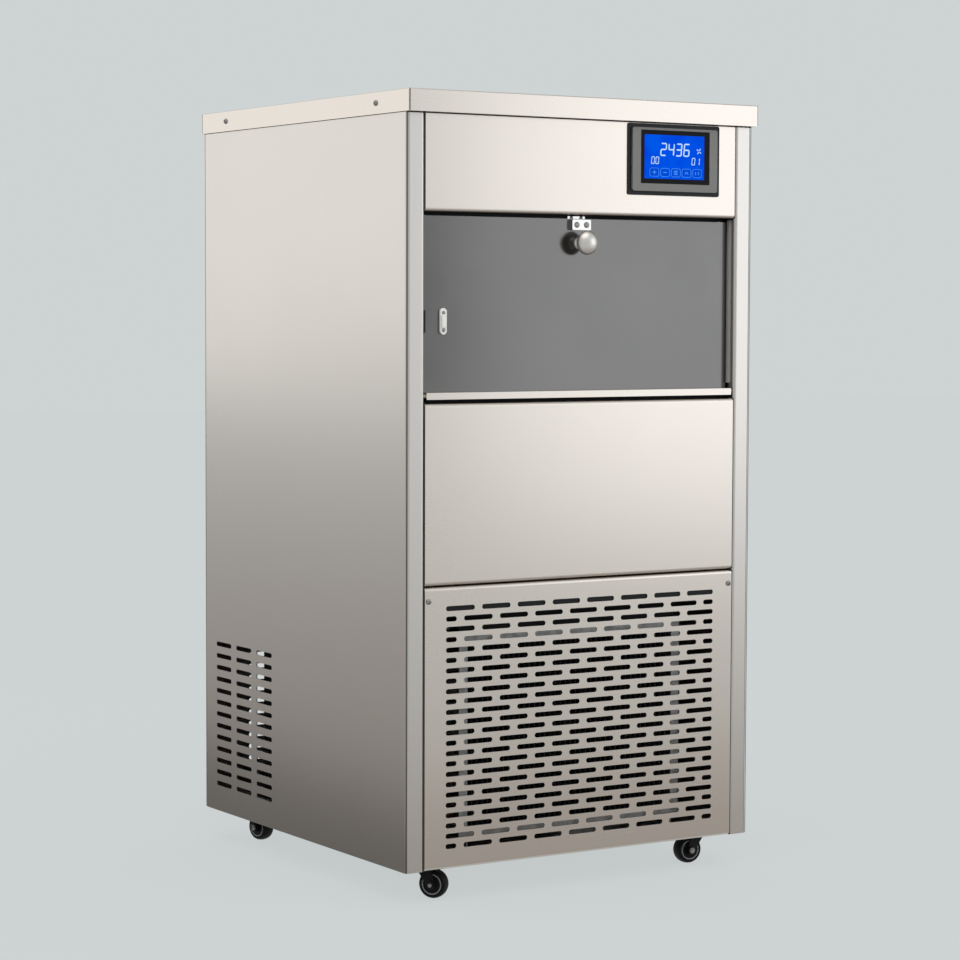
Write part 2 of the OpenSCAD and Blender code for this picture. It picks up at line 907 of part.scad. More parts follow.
module bin_liner() {
    color([0.90, 0.91, 0.90]) difference() {
        union() {
            block([-liner_x, liner_y0, liner_z0], [liner_x, liner_y1, liner_z1]);
            bin_mouth(liner_t, foam_y0 - liner_t, liner_y0 + liner_t);
            block([-rim_x, rim_y, rail_top + rim_lift], [rim_x, foam_y0, z_ctrl - rim_drop]);
        }
        block(
            [-liner_x + liner_t, liner_y0 + liner_t, liner_z0 + liner_t],
            [liner_x - liner_t, liner_y1 - liner_t, liner_z1 - liner_t]
        );
        bin_mouth(0, rim_y - cut, liner_y0 + 2 * liner_t);
        chute_form(chute_t + chute_room, liner_y1 - 2 * liner_t, liner_y1 + cut);
        translate([drain_in_x, drain_y, liner_z0 - cut])
            cylinder(h = 3 * liner_t + cut, r = drain_r - drain_wall);
    }
}

module bin_insulation() {
    color(dark_plastic) difference() {
        block([-foam_x, foam_y0, foam_z0], [foam_x, foam_y1, foam_z1]);
        block([-liner_x, liner_y0, liner_z0], [liner_x, liner_y1, liner_z1]);
        bin_mouth(liner_t, foam_y0 - cut, liner_y0 + cut);
        chute_form(chute_t + chute_room, liner_y1 - cut, foam_y1 + cut);
        translate([drain_in_x, drain_y, foam_z0 - cut]) cylinder(h = foam_t + 2 * cut, r = drain_r);
        board_joints();
    }
}

// Joints between the foam boards round the bin
module board_joints() {
    low = mouth_z0 - liner_t;
    high = mouth_z1 + liner_t + board_gap;
    for (x = [-liner_x - board_gap, liner_x])
        block([x, foam_y0 - cut, foam_z0 - cut], [x + board_gap, foam_y1 + cut, foam_z1 + cut]);
    for (z = [liner_z0, liner_z1 + board_gap])
        block([-liner_x - board_gap, foam_y0 - cut, z - board_gap], [liner_x + board_gap, foam_y1 + cut, z]);
    for (z = [low, high])
        block([-liner_x - board_gap, foam_y0 - cut, z - board_gap], [liner_x + board_gap, liner_y0 + cut, z]);
}

module door_seal() {
    color(dark_plastic) difference() {
        bin_mouth(seal_lip + seal_w, seal_y, rim_y);
        bin_mouth(seal_lip, seal_y - cut, rim_y + cut);
        block([-keeper_w / 2 - cut, seal_y - cut, mouth_z1 - cut], [keeper_w / 2 + cut, rim_y + cut, z_ctrl]);
    }
}

module catch_keeper() {
    color([0.88, 0.88, 0.88]) difference() {
        block([-keeper_w / 2, keeper_y, mouth_z1 + seal_lip], [keeper_w / 2, rim_y, z_ctrl - rim_drop]);
        for (s = [-1, 1])
            bar_y(s * catch_screw_x, keeper_y - cut, keeper_screw_z, keeper_screw_r, keeper_t + 2 * cut);
    }
}

module door_switch() {
    color(dark_plastic) translate([-post_x, 0, 0]) difference() {
        block([0, switch_y0, magnet_z - switch_h / 2], [switch_t, jamb_d - 1, magnet_z + switch_h / 2]);
        for (s = [-1, 1]) translate([switch_t, (jamb_d + 1) / 2, magnet_z + s * switch_screw])
            rotate([0, 90, 0]) cylinder(h = switch_t, r = switch_screw_r, center = true);
    }
}

// Ice maker

module ice_chute() {
    color(white_plastic) difference() {
        chute_form(chute_t, chute_end, maker_y - head_r * 0.5);
        chute_form(0, chute_end - cut, maker_y);
        translate([-maker_x, maker_y, head_z0]) cylinder(h = head_h, r = head_r + face_gap);
    }
}

module evaporator_barrel() {
    l = head_z0 - barrel_z0;
    color(steel) translate([-maker_x, maker_y, barrel_z0]) difference() {
        union() {
            cylinder(h = l, r = barrel_r + barrel_t);
            cylinder(h = barrel_flange_t, r = head_r + barrel_flange_t);
            translate([0, 0, l - barrel_flange_t]) cylinder(h = barrel_flange_t, r = head_r);
        }
        translate([0, 0, barrel_end]) cylinder(h = l, r = barrel_r);
        translate([0, 0, -cut]) cylinder(h = barrel_end + 2 * cut, r = bush_r);
    }
}

module evaporator_jacket() {
    z0 = barrel_z0 + jacket_low;
    l = head_z0 - z0 - jacket_high;
    inner = barrel_r + barrel_t;
    outer = jacket_r - jacket_edge;
    color([0.10, 0.10, 0.11]) translate([-maker_x, maker_y, z0]) rotate_extrude() polygon([
        [inner, 0], [outer, 0], [jacket_r, jacket_edge], [jacket_r, l - jacket_edge], [outer, l], [inner, l]
    ]);
}

// Screw flight: a four-cornered section carried round the core
module flight(r0, r1, l, turns, t, steps = 22) {
    n = round(steps * turns);
    section = [[r0, 0], [r1, t * 0.2], [r1, t * 0.8], [r0, t]];
    points = [for (i = [0 : n], c = section)
        let (a = 360 * turns * i / n)
        [c[0] * cos(a), c[0] * sin(a), (l - t) * i / n + c[1]]];
    sides = [for (i = [0 : n - 1], k = [0 : 3], half = [0, 1])
        let (a = 4 * i + k, b = 4 * i + (k + 1) % 4)
        half == 0 ? [a, b, a + 4] : [b, b + 4, a + 4]];
    caps = [[0, 2, 1], [0, 3, 2], [4 * n, 4 * n + 1, 4 * n + 2], [4 * n, 4 * n + 2, 4 * n + 3]];
    polyhedron(points, concat(caps, sides));
}

module auger() {
    flight_l = flight_top - auger_z0;
    screw_l = flight_l - 2 * flight_inset;
    seat_z = coupling_z0 + coupling_l / 2;
    color([0.70, 0.70, 0.70]) translate([-maker_x, maker_y, 0]) {
        translate([0, 0, seat_z]) cylinder(h = auger_top - seat_z, r = journal_r);
        translate([0, 0, auger_z0]) cylinder(h = flight_l, r = core_r);
        translate([0, 0, auger_z0 + flight_inset])
            flight(core_r - flight_root, barrel_r - flight_gap, screw_l, flight_turns, flight_t);
    }
}

module drive_coupling() {
    color([0.55, 0.55, 0.56]) translate([-maker_x, maker_y, 0]) difference() {
        union() {
            translate([0, 0, coupling_z0]) cylinder(h = coupling_l, r = coupling_r);
            translate([0, 0, gear_z1 - shaft_socket + shaft_gap])
                cylinder(h = coupling_z0 - gear_z1 + shaft_socket, r = journal_r);
        }
        translate([0, 0, coupling_z0 + coupling_l / 2]) cylinder(h = coupling_l, r = journal_r);
    }
}

module ice_head() {
    color([0.78, 0.78, 0.77]) difference() {
        translate([-maker_x, maker_y, head_z0]) cylinder(h = head_h, r = head_r);
        translate([-maker_x, maker_y, head_z0 - cut]) cylinder(h = head_h - head_cap + cut, r = barrel_r);
        translate([-maker_x, maker_y, head_z0]) cylinder(h = head_h + cut, r = bush_r);
        chute_form(0, maker_y - 2 * head_r, maker_y);
    }
}

module auger_bush_top() {
    color([0.80, 0.68, 0.40]) translate([-maker_x, maker_y, head_z0 + head_h - head_cap]) difference() {
        cylinder(h = head_cap, r = bush_r);
        translate([0, 0, -cut]) cylinder(h = head_cap + 2 * cut, r = journal_r + run_gap);
    }
}

module auger_bush_bottom() {
    color([0.80, 0.68, 0.40]) translate([-maker_x, maker_y, barrel_z0]) difference() {
        cylinder(h = barrel_end, r = bush_r);
        translate([0, 0, -cut]) cylinder(h = barrel_end + 2 * cut, r = journal_r + run_gap);
    }
}

module gear_motor() {
    l = gear_z0 - motor_z0;
    color([0.32, 0.35, 0.38]) translate([-maker_x, maker_y, 0]) difference() {
        union() {
            translate([0, 0, gear_z0]) linear_extrude(gear_h) soft_rect(gear_w, gear_d, gear_corner);
            translate([0, 0, gear_rib_z]) linear_extrude(gear_rib_h)
                soft_rect(gear_w + gear_rib_w, gear_d + gear_rib_d, gear_corner);
            translate([0, 0, motor_z0]) rotate_extrude() polygon([
                [0, 0], [motor_r - motor_edge, 0], [motor_r, motor_edge], [motor_r, l], [0, l]
            ]);
        }
        translate([0, 0, gear_z1 - shaft_socket]) cylinder(h = shaft_socket + cut, r = journal_r + run_gap);
    }
}

module motor_stand() {
    x = stand_x;
    y = stand_d / 2;
    t = stand_cheek;
    ledge_x = x - t / 2 - stand_ledge;
    color([0.30, 0.31, 0.33]) translate([-maker_x, maker_y, 0]) difference() {
        union() {
            for (s = [0, 1]) mirror([s, 0, 0]) {
                block([x - t / 2, -y, pan_top], [x + t / 2, y, stand_top]);
                block([x, -y, pan_top], [x + stand_foot, y, pan_top + t]);
                block([ledge_x, -y + 2 * t, gear_rib_z - t], [x, y - 2 * t, gear_rib_z]);
            }
            block([-x, -y, stand_top - stand_plate], [x, y, stand_top]);
        }
        translate([0, 0, stand_top - stand_plate - cut])
            cylinder(h = stand_plate + 2 * cut, r = coupling_r + stand_hole_room);
    }
}

// Water supply

module water_tank() {
    x0 = tank_x - tank_w / 2;
    x1 = tank_x + tank_w / 2;
    y0 = foam_y1;
    y1 = foam_y1 + tank_d;
    z1 = tank_z0 + tank_h;
    color([0.86, 0.87, 0.86]) difference() {
        union() {
            block([x0, y0, tank_z0], [x1, y1, z1]);
            translate([spout_x, spout_y, tank_z0 - spout_l]) cylinder(h = spout_l + tank_t, r = spout_r);
        }
        block([x0 + tank_t, y0 + tank_t, tank_z0 + tank_t], [x1 - tank_t, y1 - tank_t, z1 + cut]);
        translate([spout_x, spout_y, tank_z0 - spout_l - cut]) cylinder(h = 2 * spout_l, r = spout_bore_r);
        bar_y(valve_x, y1 - tank_t - cut, valve_z, valve_r, tank_t + 2 * cut);
    }
}

module arm_pin(r) {
    translate([valve_x, arm_y, valve_z]) rotate([0, 90, 0]) cylinder(h = arm_pin_l, r = r, center = true);
}

module float_valve() {
    y = foam_y1 + tank_d - tank_t;
    t = valve_flange_t;
    color([0.85, 0.85, 0.84]) difference() {
        union() {
            bar_y(valve_x, y - t, valve_z, valve_r, tank_t + 2 * t + cut);
            bar_y(valve_x, y - t, valve_z, valve_r + valve_flange, t);
            bar_y(valve_x, y + tank_t, valve_z, valve_r + valve_flange, t);
            for (s = [-1, 1]) translate([valve_x + s * lug_x, (arm_y - lug_y + y - t) / 2, valve_z])
                cube([lug_t, y - t - arm_y + lug_y, lug_h], center = true);
        }
        arm_pin(arm_r + run_gap);
    }
}

module float_arm() {
    far_y = arm_y - arm_step;
    far_z = valve_z - arm_step;
    e = float_edge;
    color([0.90, 0.55, 0.15]) {
        arm_pin(arm_r);
        rod([valve_x, arm_y, valve_z], [valve_x, far_y, far_z], rod_r);
        translate([valve_x, far_y, far_z + e - float_l]) rotate_extrude() polygon([
            [0, 0], [float_r - e, 0], [float_r, e],
            [float_r, float_l - e], [float_r - e, float_l], [0, float_l]
        ]);
    }
}

module feed_hose() {
    z = barrel_z0 + hose_lift;
    color([0.80, 0.85, 0.88]) line([
        [spout_x, spout_y, tank_z0 - spout_l], [spout_x, spout_y, z], [spout_x, maker_y, z],
        [-maker_x + barrel_r + barrel_t, maker_y, z]
    ], hose_r, 1);
}

module water_inlet() {
    color([0.78, 0.66, 0.38]) {
        bar_y(inlet_x, inlet_pipe_y, inlet_z, inlet_pipe_r, body_d - inlet_pipe_y);
        bar_y(inlet_x, side_d - inlet_flange_t, inlet_z, inlet_r + inlet_flange, inlet_flange_t);
        bar_y(inlet_x, side_d - cut, inlet_z, inlet_r - inlet_neck, cut + sheet_t);
        difference() {
            bar_y(inlet_x, body_d, inlet_z, inlet_r, fitting_l);
            bar_y(inlet_x, body_d + fitting_floor, inlet_z, inlet_r - inlet_wall, fitting_l);
        }
    }
}

module drain_hose() {
    x = drain_in_x;
    color([0.75, 0.77, 0.78]) {
        line([
            [x, drain_y, liner_z0], [x, drain_y, drain_z], [drain_x, drain_y + drain_run, drain_z],
            [drain_x, body_d, drain_z]
        ], drain_r - drain_step, 1);
        bar_y(drain_x, side_d - drain_flange, drain_z, drain_r + drain_flange, drain_flange);
        difference() {
            bar_y(drain_x, body_d, drain_z, drain_r, fitting_l);
            bar_y(drain_x, body_d + fitting_floor, drain_z, drain_r - drain_wall, fitting_l);
        }
    }
}

// Condensing unit

module compressor() {
    weld_z = comp_h * 0.55;
    color([0.08, 0.08, 0.09]) {
        translate([comp_x, comp_y, comp_z0]) rotate_extrude() polygon([
            [0, 0], [comp_r - 14, 0], [comp_r - 4, 10], [comp_r, 30], [comp_r, weld_z],
            [comp_r + weld_t, weld_z], [comp_r + weld_t, weld_z + 2 * weld_t], [comp_r, weld_z + 2 * weld_t],
            [comp_r, comp_h * 0.7], [comp_r * 0.86, comp_h * 0.88], [comp_r * 0.55, comp_h * 0.97],
            [0, comp_h]
        ]);
        difference() {
            translate([comp_x, comp_y, comp_z0 - comp_plate_t]) linear_extrude(comp_plate_t)
                soft_rect(2 * (comp_foot_x + comp_corner), 2 * (comp_foot_y + comp_corner), comp_corner);
            for (x = [-1, 1], y = [-1, 1])
                translate([comp_x + x * comp_foot_x, comp_y + y * comp_foot_y, comp_z0 - comp_plate_t - cut])
                    cylinder(h = comp_plate_t + 2 * cut, r = foot_neck_r);
        }
        block(
            [comp_x - relay_w / 2, comp_y - comp_r - relay_out, comp_z0 + relay_z],
            [comp_x + relay_w / 2, comp_y - comp_r * 0.7, comp_z0 + relay_z + relay_w]
        );
        rod([comp_x, comp_y, discharge_z], [comp_x + comp_r + stub_l, comp_y, discharge_z], line_r + stub_t);
        rod([comp_x, comp_y, suction_stub_z], [comp_x - comp_r - stub_l, comp_y, suction_stub_z],
            line_r + stub_t);
    }
}

module compressor_feet() {
    h = comp_foot_h + comp_plate_t;
    color([0.12, 0.12, 0.12]) for (x = [-1, 1], y = [-1, 1])
        translate([comp_x + x * comp_foot_x, comp_y + y * comp_foot_y, pan_top]) rotate_extrude() polygon([
            [0, 0], [13, 0], [11, comp_foot_h], [foot_neck_r, comp_foot_h], [foot_neck_r, h],
            [9, h], [8, h + foot_cap_t], [0, h + foot_cap_t]
        ]);
}

function run_z(k) = cond_z0 + (k + 0.5) * run_pitch;

module condenser_core() {
    fins = floor((cond_w - 2 * fin_pitch) / fin_pitch);
    tube_l = cond_w + 2 * tube_out;
    color([0.16, 0.16, 0.17]) {
        for (i = [0 : fins])
            translate([(i - fins / 2) * fin_pitch, tube_y, cond_zm])
                cube([fin_t, cond_d - 2 * fin_edge, cond_h - fin_edge], center = true);
        for (k = [0 : tube_runs - 1]) translate([0, tube_y, run_z(k)]) rotate([0, 90, 0])
            cylinder(h = tube_l, r = tube_r, center = true);
    }
    color(copper) for (k = [0 : tube_runs - 2]) {
        s = k % 2 == 0 ? 1 : -1;
        translate([s * (tube_l / 2 - cut), tube_y, run_z(k + 0.5)]) rotate([90, s * 90, 0])
            rotate_extrude(angle = 180) translate([run_pitch / 2, 0]) circle(tube_r - bend_step);
    }
}

// Upright rectangle about the condenser's middle
module cond_rect(grow) {
    translate([0, cond_zm]) square([cond_w + 2 * grow, cond_h + 2 * grow], center = true);
}

module condenser_frame() {
    t = cond_frame_t;
    color([0.86, 0.87, 0.88]) difference() {
        union() {
            along_y(cond_recess, t) cond_rect(cond_flange);
            along_y(cond_recess, cond_d) cond_rect(t);
            for (s = [0, 1]) mirror([s, 0, 0])
                block([cond_x, cond_recess, pan_top], [cond_x + t, cond_back, cond_z0]);
        }
        along_y(cond_recess - cut, cond_d + 2 * cut) cond_rect(0);
        for (k = [0 : tube_runs - 1]) translate([0, tube_y, run_z(k)]) rotate([0, 90, 0])
            cylinder(h = cond_w + 8 * t, r = tube_r + tube_gap, center = true);
    }
}

module fan_shroud() {
    t = cond_frame_t;
    color([0.13, 0.13, 0.14]) difference() {
        union() {
            along_y(cond_back, t) cond_rect(t);
            bar_y(0, cond_back, cond_zm, shroud_r + shroud_t, shroud_l);
        }
        bar_y(0, cond_back - cut, cond_zm, shroud_r, shroud_l + 2 * cut);
    }
}

module fan_bracket() {
    x = bracket_x;
    y = bracket_y;
    top = cond_zm + fan_motor_r + bracket_rise;
    color([0.70, 0.71, 0.72]) difference() {
        union() {
            block([-x, y, pan_top], [x, y + bracket_t, top]);
            block([-x, y, pan_top], [x, y + bracket_foot, pan_top + bracket_t]);
        }
        bar_y(0, y - cut, cond_zm, fan_motor_r + run_gap, bracket_t + 2 * cut);
        for (s = [-1, 1]) translate([s * bracket_hole_x, y + bracket_hole_y, pan_top - cut])
            cylinder(h = bracket_t + 2 * cut, r = bracket_hole_r);
    }
}

module fan_motor() {
    r = fan_motor_r;
    l = fan_motor_l;
    e = fan_motor_edge;
    color([0.20, 0.21, 0.22]) translate([0, motor_y, cond_zm]) rotate([-90, 0, 0]) difference() {
        rotate_extrude() polygon([
            [0, 0], [2 * e, 0], [r - e, e - 2], [r, 2 * e], [r, l - e - 2], [r - e, l], [0, l]
        ]);
        translate([0, 0, -cut]) cylinder(h = fan_shaft_in + e, r = fan_shaft_r + run_gap);
    }
}

module fan_blade() {
    mid = fan_y + fan_depth / 2;
    color([0.15, 0.16, 0.17]) translate([0, mid, cond_zm]) rotate([-90, 0, 0]) {
        cylinder(h = fan_depth - blade_t, r = fan_hub_r, center = true);
        cylinder(h = motor_y - mid + fan_shaft_in, r = fan_shaft_r);
        for (i = [0 : fan_blades - 1]) rotate([0, 0, i * 360 / fan_blades]) intersection() {
            difference() {
                cylinder(h = fan_depth, r = fan_r, center = true);
                cylinder(h = fan_depth + cut, r = fan_hub_r - blade_t, center = true);
            }
            rotate([blade_pitch, 0, 0]) translate([fan_hub_r - blade_root, -blade_w / 2, -blade_t / 2])
                cube([fan_r, blade_w, blade_t]);
        }
    }
}

module refrigerant_lines() {
    z_first = run_z(0);
    z_last = run_z(tube_runs - 1);
    tube_end = cond_x + tube_out;
    left_x = -tube_end - 16;
    drier_x = -tube_end - 24;
    drier_y = tube_y + 40;
    right_x = comp_x + comp_r + stub_l + 14;
    back_y = motor_y + fan_motor_l + line_back;
    bay_y = (foam_y1 + maker_y - jacket_r) / 2;
    capillary_z = barrel_z0 + jacket_low + 50;
    suction_z = capillary_z + 20;
    riser_x = -maker_x + stand_x + stand_foot + 2;
    r = line_r + 1;
    color(copper) {
        line([
            [comp_x + comp_r + stub_l, comp_y, discharge_z], [right_x, comp_y, discharge_z],
            [right_x, back_y, discharge_z], [right_x, back_y, z_last], [left_x, back_y, z_last],
            [left_x, tube_y, z_last], [-tube_end, tube_y, z_last]
        ], line_r);
        line([[-tube_end, tube_y, z_first], [drier_x, tube_y, z_first], [drier_x, drier_y, z_first]], line_r);
        translate([drier_x, drier_y, z_first]) rotate([-90, 0, 0]) rotate_extrude() polygon([
            [0, 0], [r, 0], [drier_r, drier_taper],
            [drier_r, drier_l - drier_taper], [r, drier_l], [0, drier_l]
        ]);
        line([
            [drier_x, drier_y + drier_l, z_first], [drier_x, bay_y, z_first], [drier_x, bay_y, capillary_z],
            [-maker_x, bay_y, capillary_z], [-maker_x, maker_y - jacket_r, capillary_z]
        ], capillary_r);
        line([
            [comp_x - comp_r - stub_l, comp_y, suction_stub_z], [riser_x, comp_y, suction_stub_z],
            [riser_x, comp_y, suction_z], [riser_x, maker_y, suction_z],
            [-maker_x + jacket_r, maker_y, suction_z]
        ], line_r);
    }
}

module cable_gland() {
    cap_r = gland_r + gland_cap;
    cap_l = fitting_l - gland_hex_l + gland_cap_step;
    color(dark_plastic) difference() {
        union() {
            bar_y(gland_x, side_d - gland_nut_t, gland_z, gland_r + gland_nut, gland_nut_t);
            bar_y(gland_x, side_d - cut, gland_z, gland_r + gland_neck, sheet_t + 2 * cut);
            translate([gland_x, body_d, gland_z]) rotate([-90, 0, 0])
                cylinder(h = gland_hex_l, r = gland_hex, $fn = 6);
            translate([gland_x, body_d + gland_hex_l - gland_cap_step, gland_z]) rotate([-90, 0, 0])
                rotate_extrude() polygon([
                    [0, 0], [cap_r, 0], [cap_r, gland_hex_l], [gland_r + gland_tip, cap_l], [0, cap_l]
                ]);
        }
        bar_y(gland_x, side_d - gland_nut_t - cut, gland_z, gland_r, fitting_l + 2 * gland_nut_t);
    }
}

// Door

module door_panel() {
    y = glass_recess - cut;
    l = glass_t + 2 * cut;
    color([0.20, 0.20, 0.21, 0.9]) difference() {
        block([-door_x, glass_recess, door_z0 + rail_ledge], [door_x, glass_back, door_z1]);
        bar_y(0, y, knob_z, knob_bolt_r, l);
        for (s = [-1, 1]) {
            bar_y(s * catch_screw_x, y, catch_z, catch_screw_r, l);
            bar_y(magnet_x, y, magnet_z + s * magnet_screw, magnet_screw_r, l);
        }
    }
}

module door_rail() {
    color(steel) {
        along_x(2 * door_x) polygon([
            [rail_y0, door_z0], [glass_back, door_z0], [glass_back, door_z0 + rail_ledge],
            [glass_recess, door_z0 + rail_ledge], [glass_recess, rail_top], [rail_y0, rail_top]
        ]);
        for (s = [-1, 1]) translate([s * (door_x + pin_reach / 2), pivot_y, pivot_z]) rotate([0, 90, 0])
            cylinder(h = pin_reach, r = pin_r, center = true);
    }
}

module door_knob() {
    r = knob_d / 2;
    color([0.80, 0.78, 0.75]) translate([0, glass_recess, knob_z]) {
        rotate([90, 0, 0]) rotate_extrude() polygon(concat(
            [[0, 0], [r * 0.5, 0], [r * 0.5, knob_l * 0.05], [r * 0.36, knob_l * 0.16]],
            [[r * 0.34, knob_l * 0.36], [r * 0.5, knob_l * 0.47], [r * 0.97, knob_l * 0.56]],
            [[r, knob_l * 0.61]],
            [for (a = [10 : 10 : 80]) [r * cos(a), knob_l * (0.61 + 0.39 * sin(a))]],
            [[0, knob_l]]
        ));
        rotate([-90, 0, 0]) cylinder(h = glass_t, r = knob_bolt_r);
    }
}

module catch_plate() {
    y = glass_recess - catch_t;
    color([0.90, 0.90, 0.89]) difference() {
        along_y(y, catch_t) translate([0, catch_z]) soft_rect(catch_w, catch_h, catch_screw_r);
        for (s = [-1, 1]) bar_y(s * catch_screw_x, y - cut, catch_z, catch_screw_r, catch_t + 2 * cut);
    }
}

module catch_screws() {
    color([0.75, 0.75, 0.74]) for (s = [-1, 1]) {
        translate([s * catch_screw_x, glass_recess - catch_t, catch_z])
            screw_y(catch_head_r, catch_screw_r, catch_t + glass_t);
        translate([magnet_x, glass_recess - magnet_base_t, magnet_z + s * magnet_screw])
            screw_y(magnet_head_r, magnet_screw_r, magnet_base_t + glass_t);
    }
}

module door_magnet() {
    body = [magnet_w * 0.6, 2 * (magnet_screw - magnet_base_t)];
    color(white_plastic) translate([magnet_x, 0, magnet_z]) difference() {
        union() {
            along_y(glass_recess - magnet_base_t, magnet_base_t) rotate(90) slot(magnet_l, magnet_w);
            along_y(glass_recess - magnet_t, magnet_t) square(body, center = true);
        }
        for (s = [-1, 1])
            bar_y(0, glass_recess - magnet_t - cut, s * magnet_screw, magnet_screw_r, magnet_t + 2 * cut);
    }
}

// Casters

module at_swivel(side, y) {
    translate([side * caster_x, y, 0]) children();
}

module caster_plates() {
    low = plate_z - plate_t;
    color([0.30, 0.30, 0.31]) for (s = [-1, 1], y = [caster_front, caster_back]) at_swivel(s, y)
        difference() {
            union() {
                translate([0, 0, low]) linear_extrude(plate_t) soft_rect(plate_w, plate_w, plate_corner);
                translate([0, 0, low - cup_h]) cylinder(h = cup_h, r = cup_r);
            }
            translate([0, 0, low - cup_h - cut]) cylinder(h = cup_h + plate_t, r = king_r + run_gap);
        }
}

// Cylinder along the axle, about the wheel's middle
module axle_bar(l, r, step = 0) {
    translate([trail, step, wheel_r]) rotate([90, 0, 0]) cylinder(h = l, r = r, center = true);
}

module caster_fork(side, y, turned) {
    outside = fork_x + fork_t;
    eye = axle_r + axle_eye;
    color(dark_plastic) at_swivel(side, y) rotate([0, 0, turned]) {
        translate([0, 0, crown_z]) cylinder(h = crown_t, r = cup_r);
        translate([0, 0, crown_z]) cylinder(h = crown_t + face_gap + cup_h, r = king_r);
        for (s = [0, 1]) mirror([0, s, 0]) {
            along_y(fork_x, fork_t) {
                polygon([
                    [-cup_r * 0.75, crown_z + crown_t], [cup_r * 0.75, crown_z + crown_t],
                    [trail + eye, wheel_r], [trail - eye, wheel_r]
                ]);
                translate([trail, wheel_r]) circle(eye);
            }
            axle_bar(bolt_t, bolt_r, outside + bolt_t / 2);
        }
        axle_bar(2 * outside, axle_r);
    }
}

module caster_wheel(side, y, turned) {
    w = wheel_w / 2;
    r = wheel_r;
    g = w - groove;
    bore = axle_r + run_gap;
    color(dark_plastic) at_swivel(side, y) rotate([0, 0, turned]) translate([trail, 0, wheel_r])
        rotate([90, 0, 0]) rotate_extrude() polygon(concat(
            [[bore, -w], [r * 0.6, -w], [r * 0.63, -g], [r * 0.7, -g], [r * 0.73, -w], [r * 0.84, -w]],
            [for (a = [-75 : 15 : 75]) [r * 0.84 + r * 0.16 * cos(a), w * sin(a)]],
            [[r * 0.84, w], [r * 0.73, w], [r * 0.7, g], [r * 0.63, g], [r * 0.6, w], [bore, w]]
        ));
}

placed() base_pan();
placed() left_side_panel();
placed() right_side_panel();
placed() back_panel();
placed() top_cover();
placed() control_panel();
placed() middle_panel();
placed() grille_panel();
placed() cross_rail();
placed() panel_screws();
placed() display_gasket();
placed() display_bezel();
placed() display_lens();
placed() control_box();
placed() bin_liner();
placed() bin_insulation();
placed() door_seal();
placed() catch_keeper();
placed() door_switch();
placed() ice_chute();
placed() evaporator_barrel();
placed() evaporator_jacket();
placed() auger();
placed() drive_coupling();
placed() ice_head();
placed() auger_bush_top();
placed() auger_bush_bottom();
placed() gear_motor();
placed() motor_stand();
placed() water_tank();
placed() float_valve();
placed() float_arm();
placed() feed_hose();
placed() water_inlet();
placed() drain_hose();
placed() compressor();
placed() compressor_feet();
placed() condenser_core();
placed() condenser_frame();
placed() fan_shroud();
placed() fan_bracket();
placed() fan_motor();
placed() fan_blade();
placed() refrigerant_lines();
placed() cable_gland();
placed() door_panel();
placed() door_rail();
placed() door_knob();
placed() catch_plate();
placed() catch_screws();
placed() door_magnet();
placed() caster_plates();
placed() caster_fork(-1, caster_front, trail_fl);  // caster_fork_fl
placed() caster_wheel(-1, caster_front, trail_fl);  // caster_wheel_fl
placed() caster_fork(1, caster_front, trail_fr);  // caster_fork_fr
placed() caster_wheel(1, caster_front, trail_fr);  // caster_wheel_fr
placed() caster_fork(-1, caster_back, trail_rl);  // caster_fork_rl
placed() caster_wheel(-1, caster_back, trail_rl);  // caster_wheel_rl
placed() caster_fork(1, caster_back, trail_rr);  // caster_fork_rr
placed() caster_wheel(1, caster_back, trail_rr);  // caster_wheel_rr
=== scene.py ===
"""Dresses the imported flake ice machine: finishes, display, fasteners, seals, trim and studio."""

import json
import logging
import math
from dataclasses import dataclass
from enum import Enum
from functools import cached_property
from typing import Iterable, Sequence

import bmesh
import bpy
from mathutils import Matrix, Vector

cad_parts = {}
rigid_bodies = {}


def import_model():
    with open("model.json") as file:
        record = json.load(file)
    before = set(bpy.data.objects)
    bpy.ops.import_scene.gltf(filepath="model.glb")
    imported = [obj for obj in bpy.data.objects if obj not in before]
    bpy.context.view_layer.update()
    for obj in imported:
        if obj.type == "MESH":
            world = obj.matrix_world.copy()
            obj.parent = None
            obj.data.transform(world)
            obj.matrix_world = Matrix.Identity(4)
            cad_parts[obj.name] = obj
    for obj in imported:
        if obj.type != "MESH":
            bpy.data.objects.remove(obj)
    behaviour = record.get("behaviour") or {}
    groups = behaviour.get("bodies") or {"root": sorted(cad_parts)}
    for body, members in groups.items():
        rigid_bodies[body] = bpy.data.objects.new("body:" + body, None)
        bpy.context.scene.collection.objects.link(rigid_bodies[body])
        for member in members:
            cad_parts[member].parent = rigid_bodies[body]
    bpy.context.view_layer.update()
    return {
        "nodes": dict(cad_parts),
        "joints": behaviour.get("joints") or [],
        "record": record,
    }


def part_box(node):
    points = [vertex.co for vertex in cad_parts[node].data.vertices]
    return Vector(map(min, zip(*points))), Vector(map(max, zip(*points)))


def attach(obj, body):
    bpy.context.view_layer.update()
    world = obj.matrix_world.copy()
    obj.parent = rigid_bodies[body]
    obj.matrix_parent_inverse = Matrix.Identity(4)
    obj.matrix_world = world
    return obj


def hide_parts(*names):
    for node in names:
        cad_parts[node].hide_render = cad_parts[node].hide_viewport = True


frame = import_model()
LOG = logging.getLogger("ice_machine")

Point2 = tuple[float, float]
Point3 = tuple[float, float, float]
Color = tuple[float, float, float]
Line = tuple[Point2, Point2]
BMesh = bmesh.types.BMesh
Node = bpy.types.Node
NodeTree = bpy.types.NodeTree
Socket = bpy.types.NodeSocket
Material = bpy.types.Material
Object = bpy.types.Object

MM = 0.001
WELD = 1e-6
SEAM = 1e-7
SHARP = math.radians(35.0)
SIDES = (-1, 1)
UP = (0.0, 0.0, 1.0)


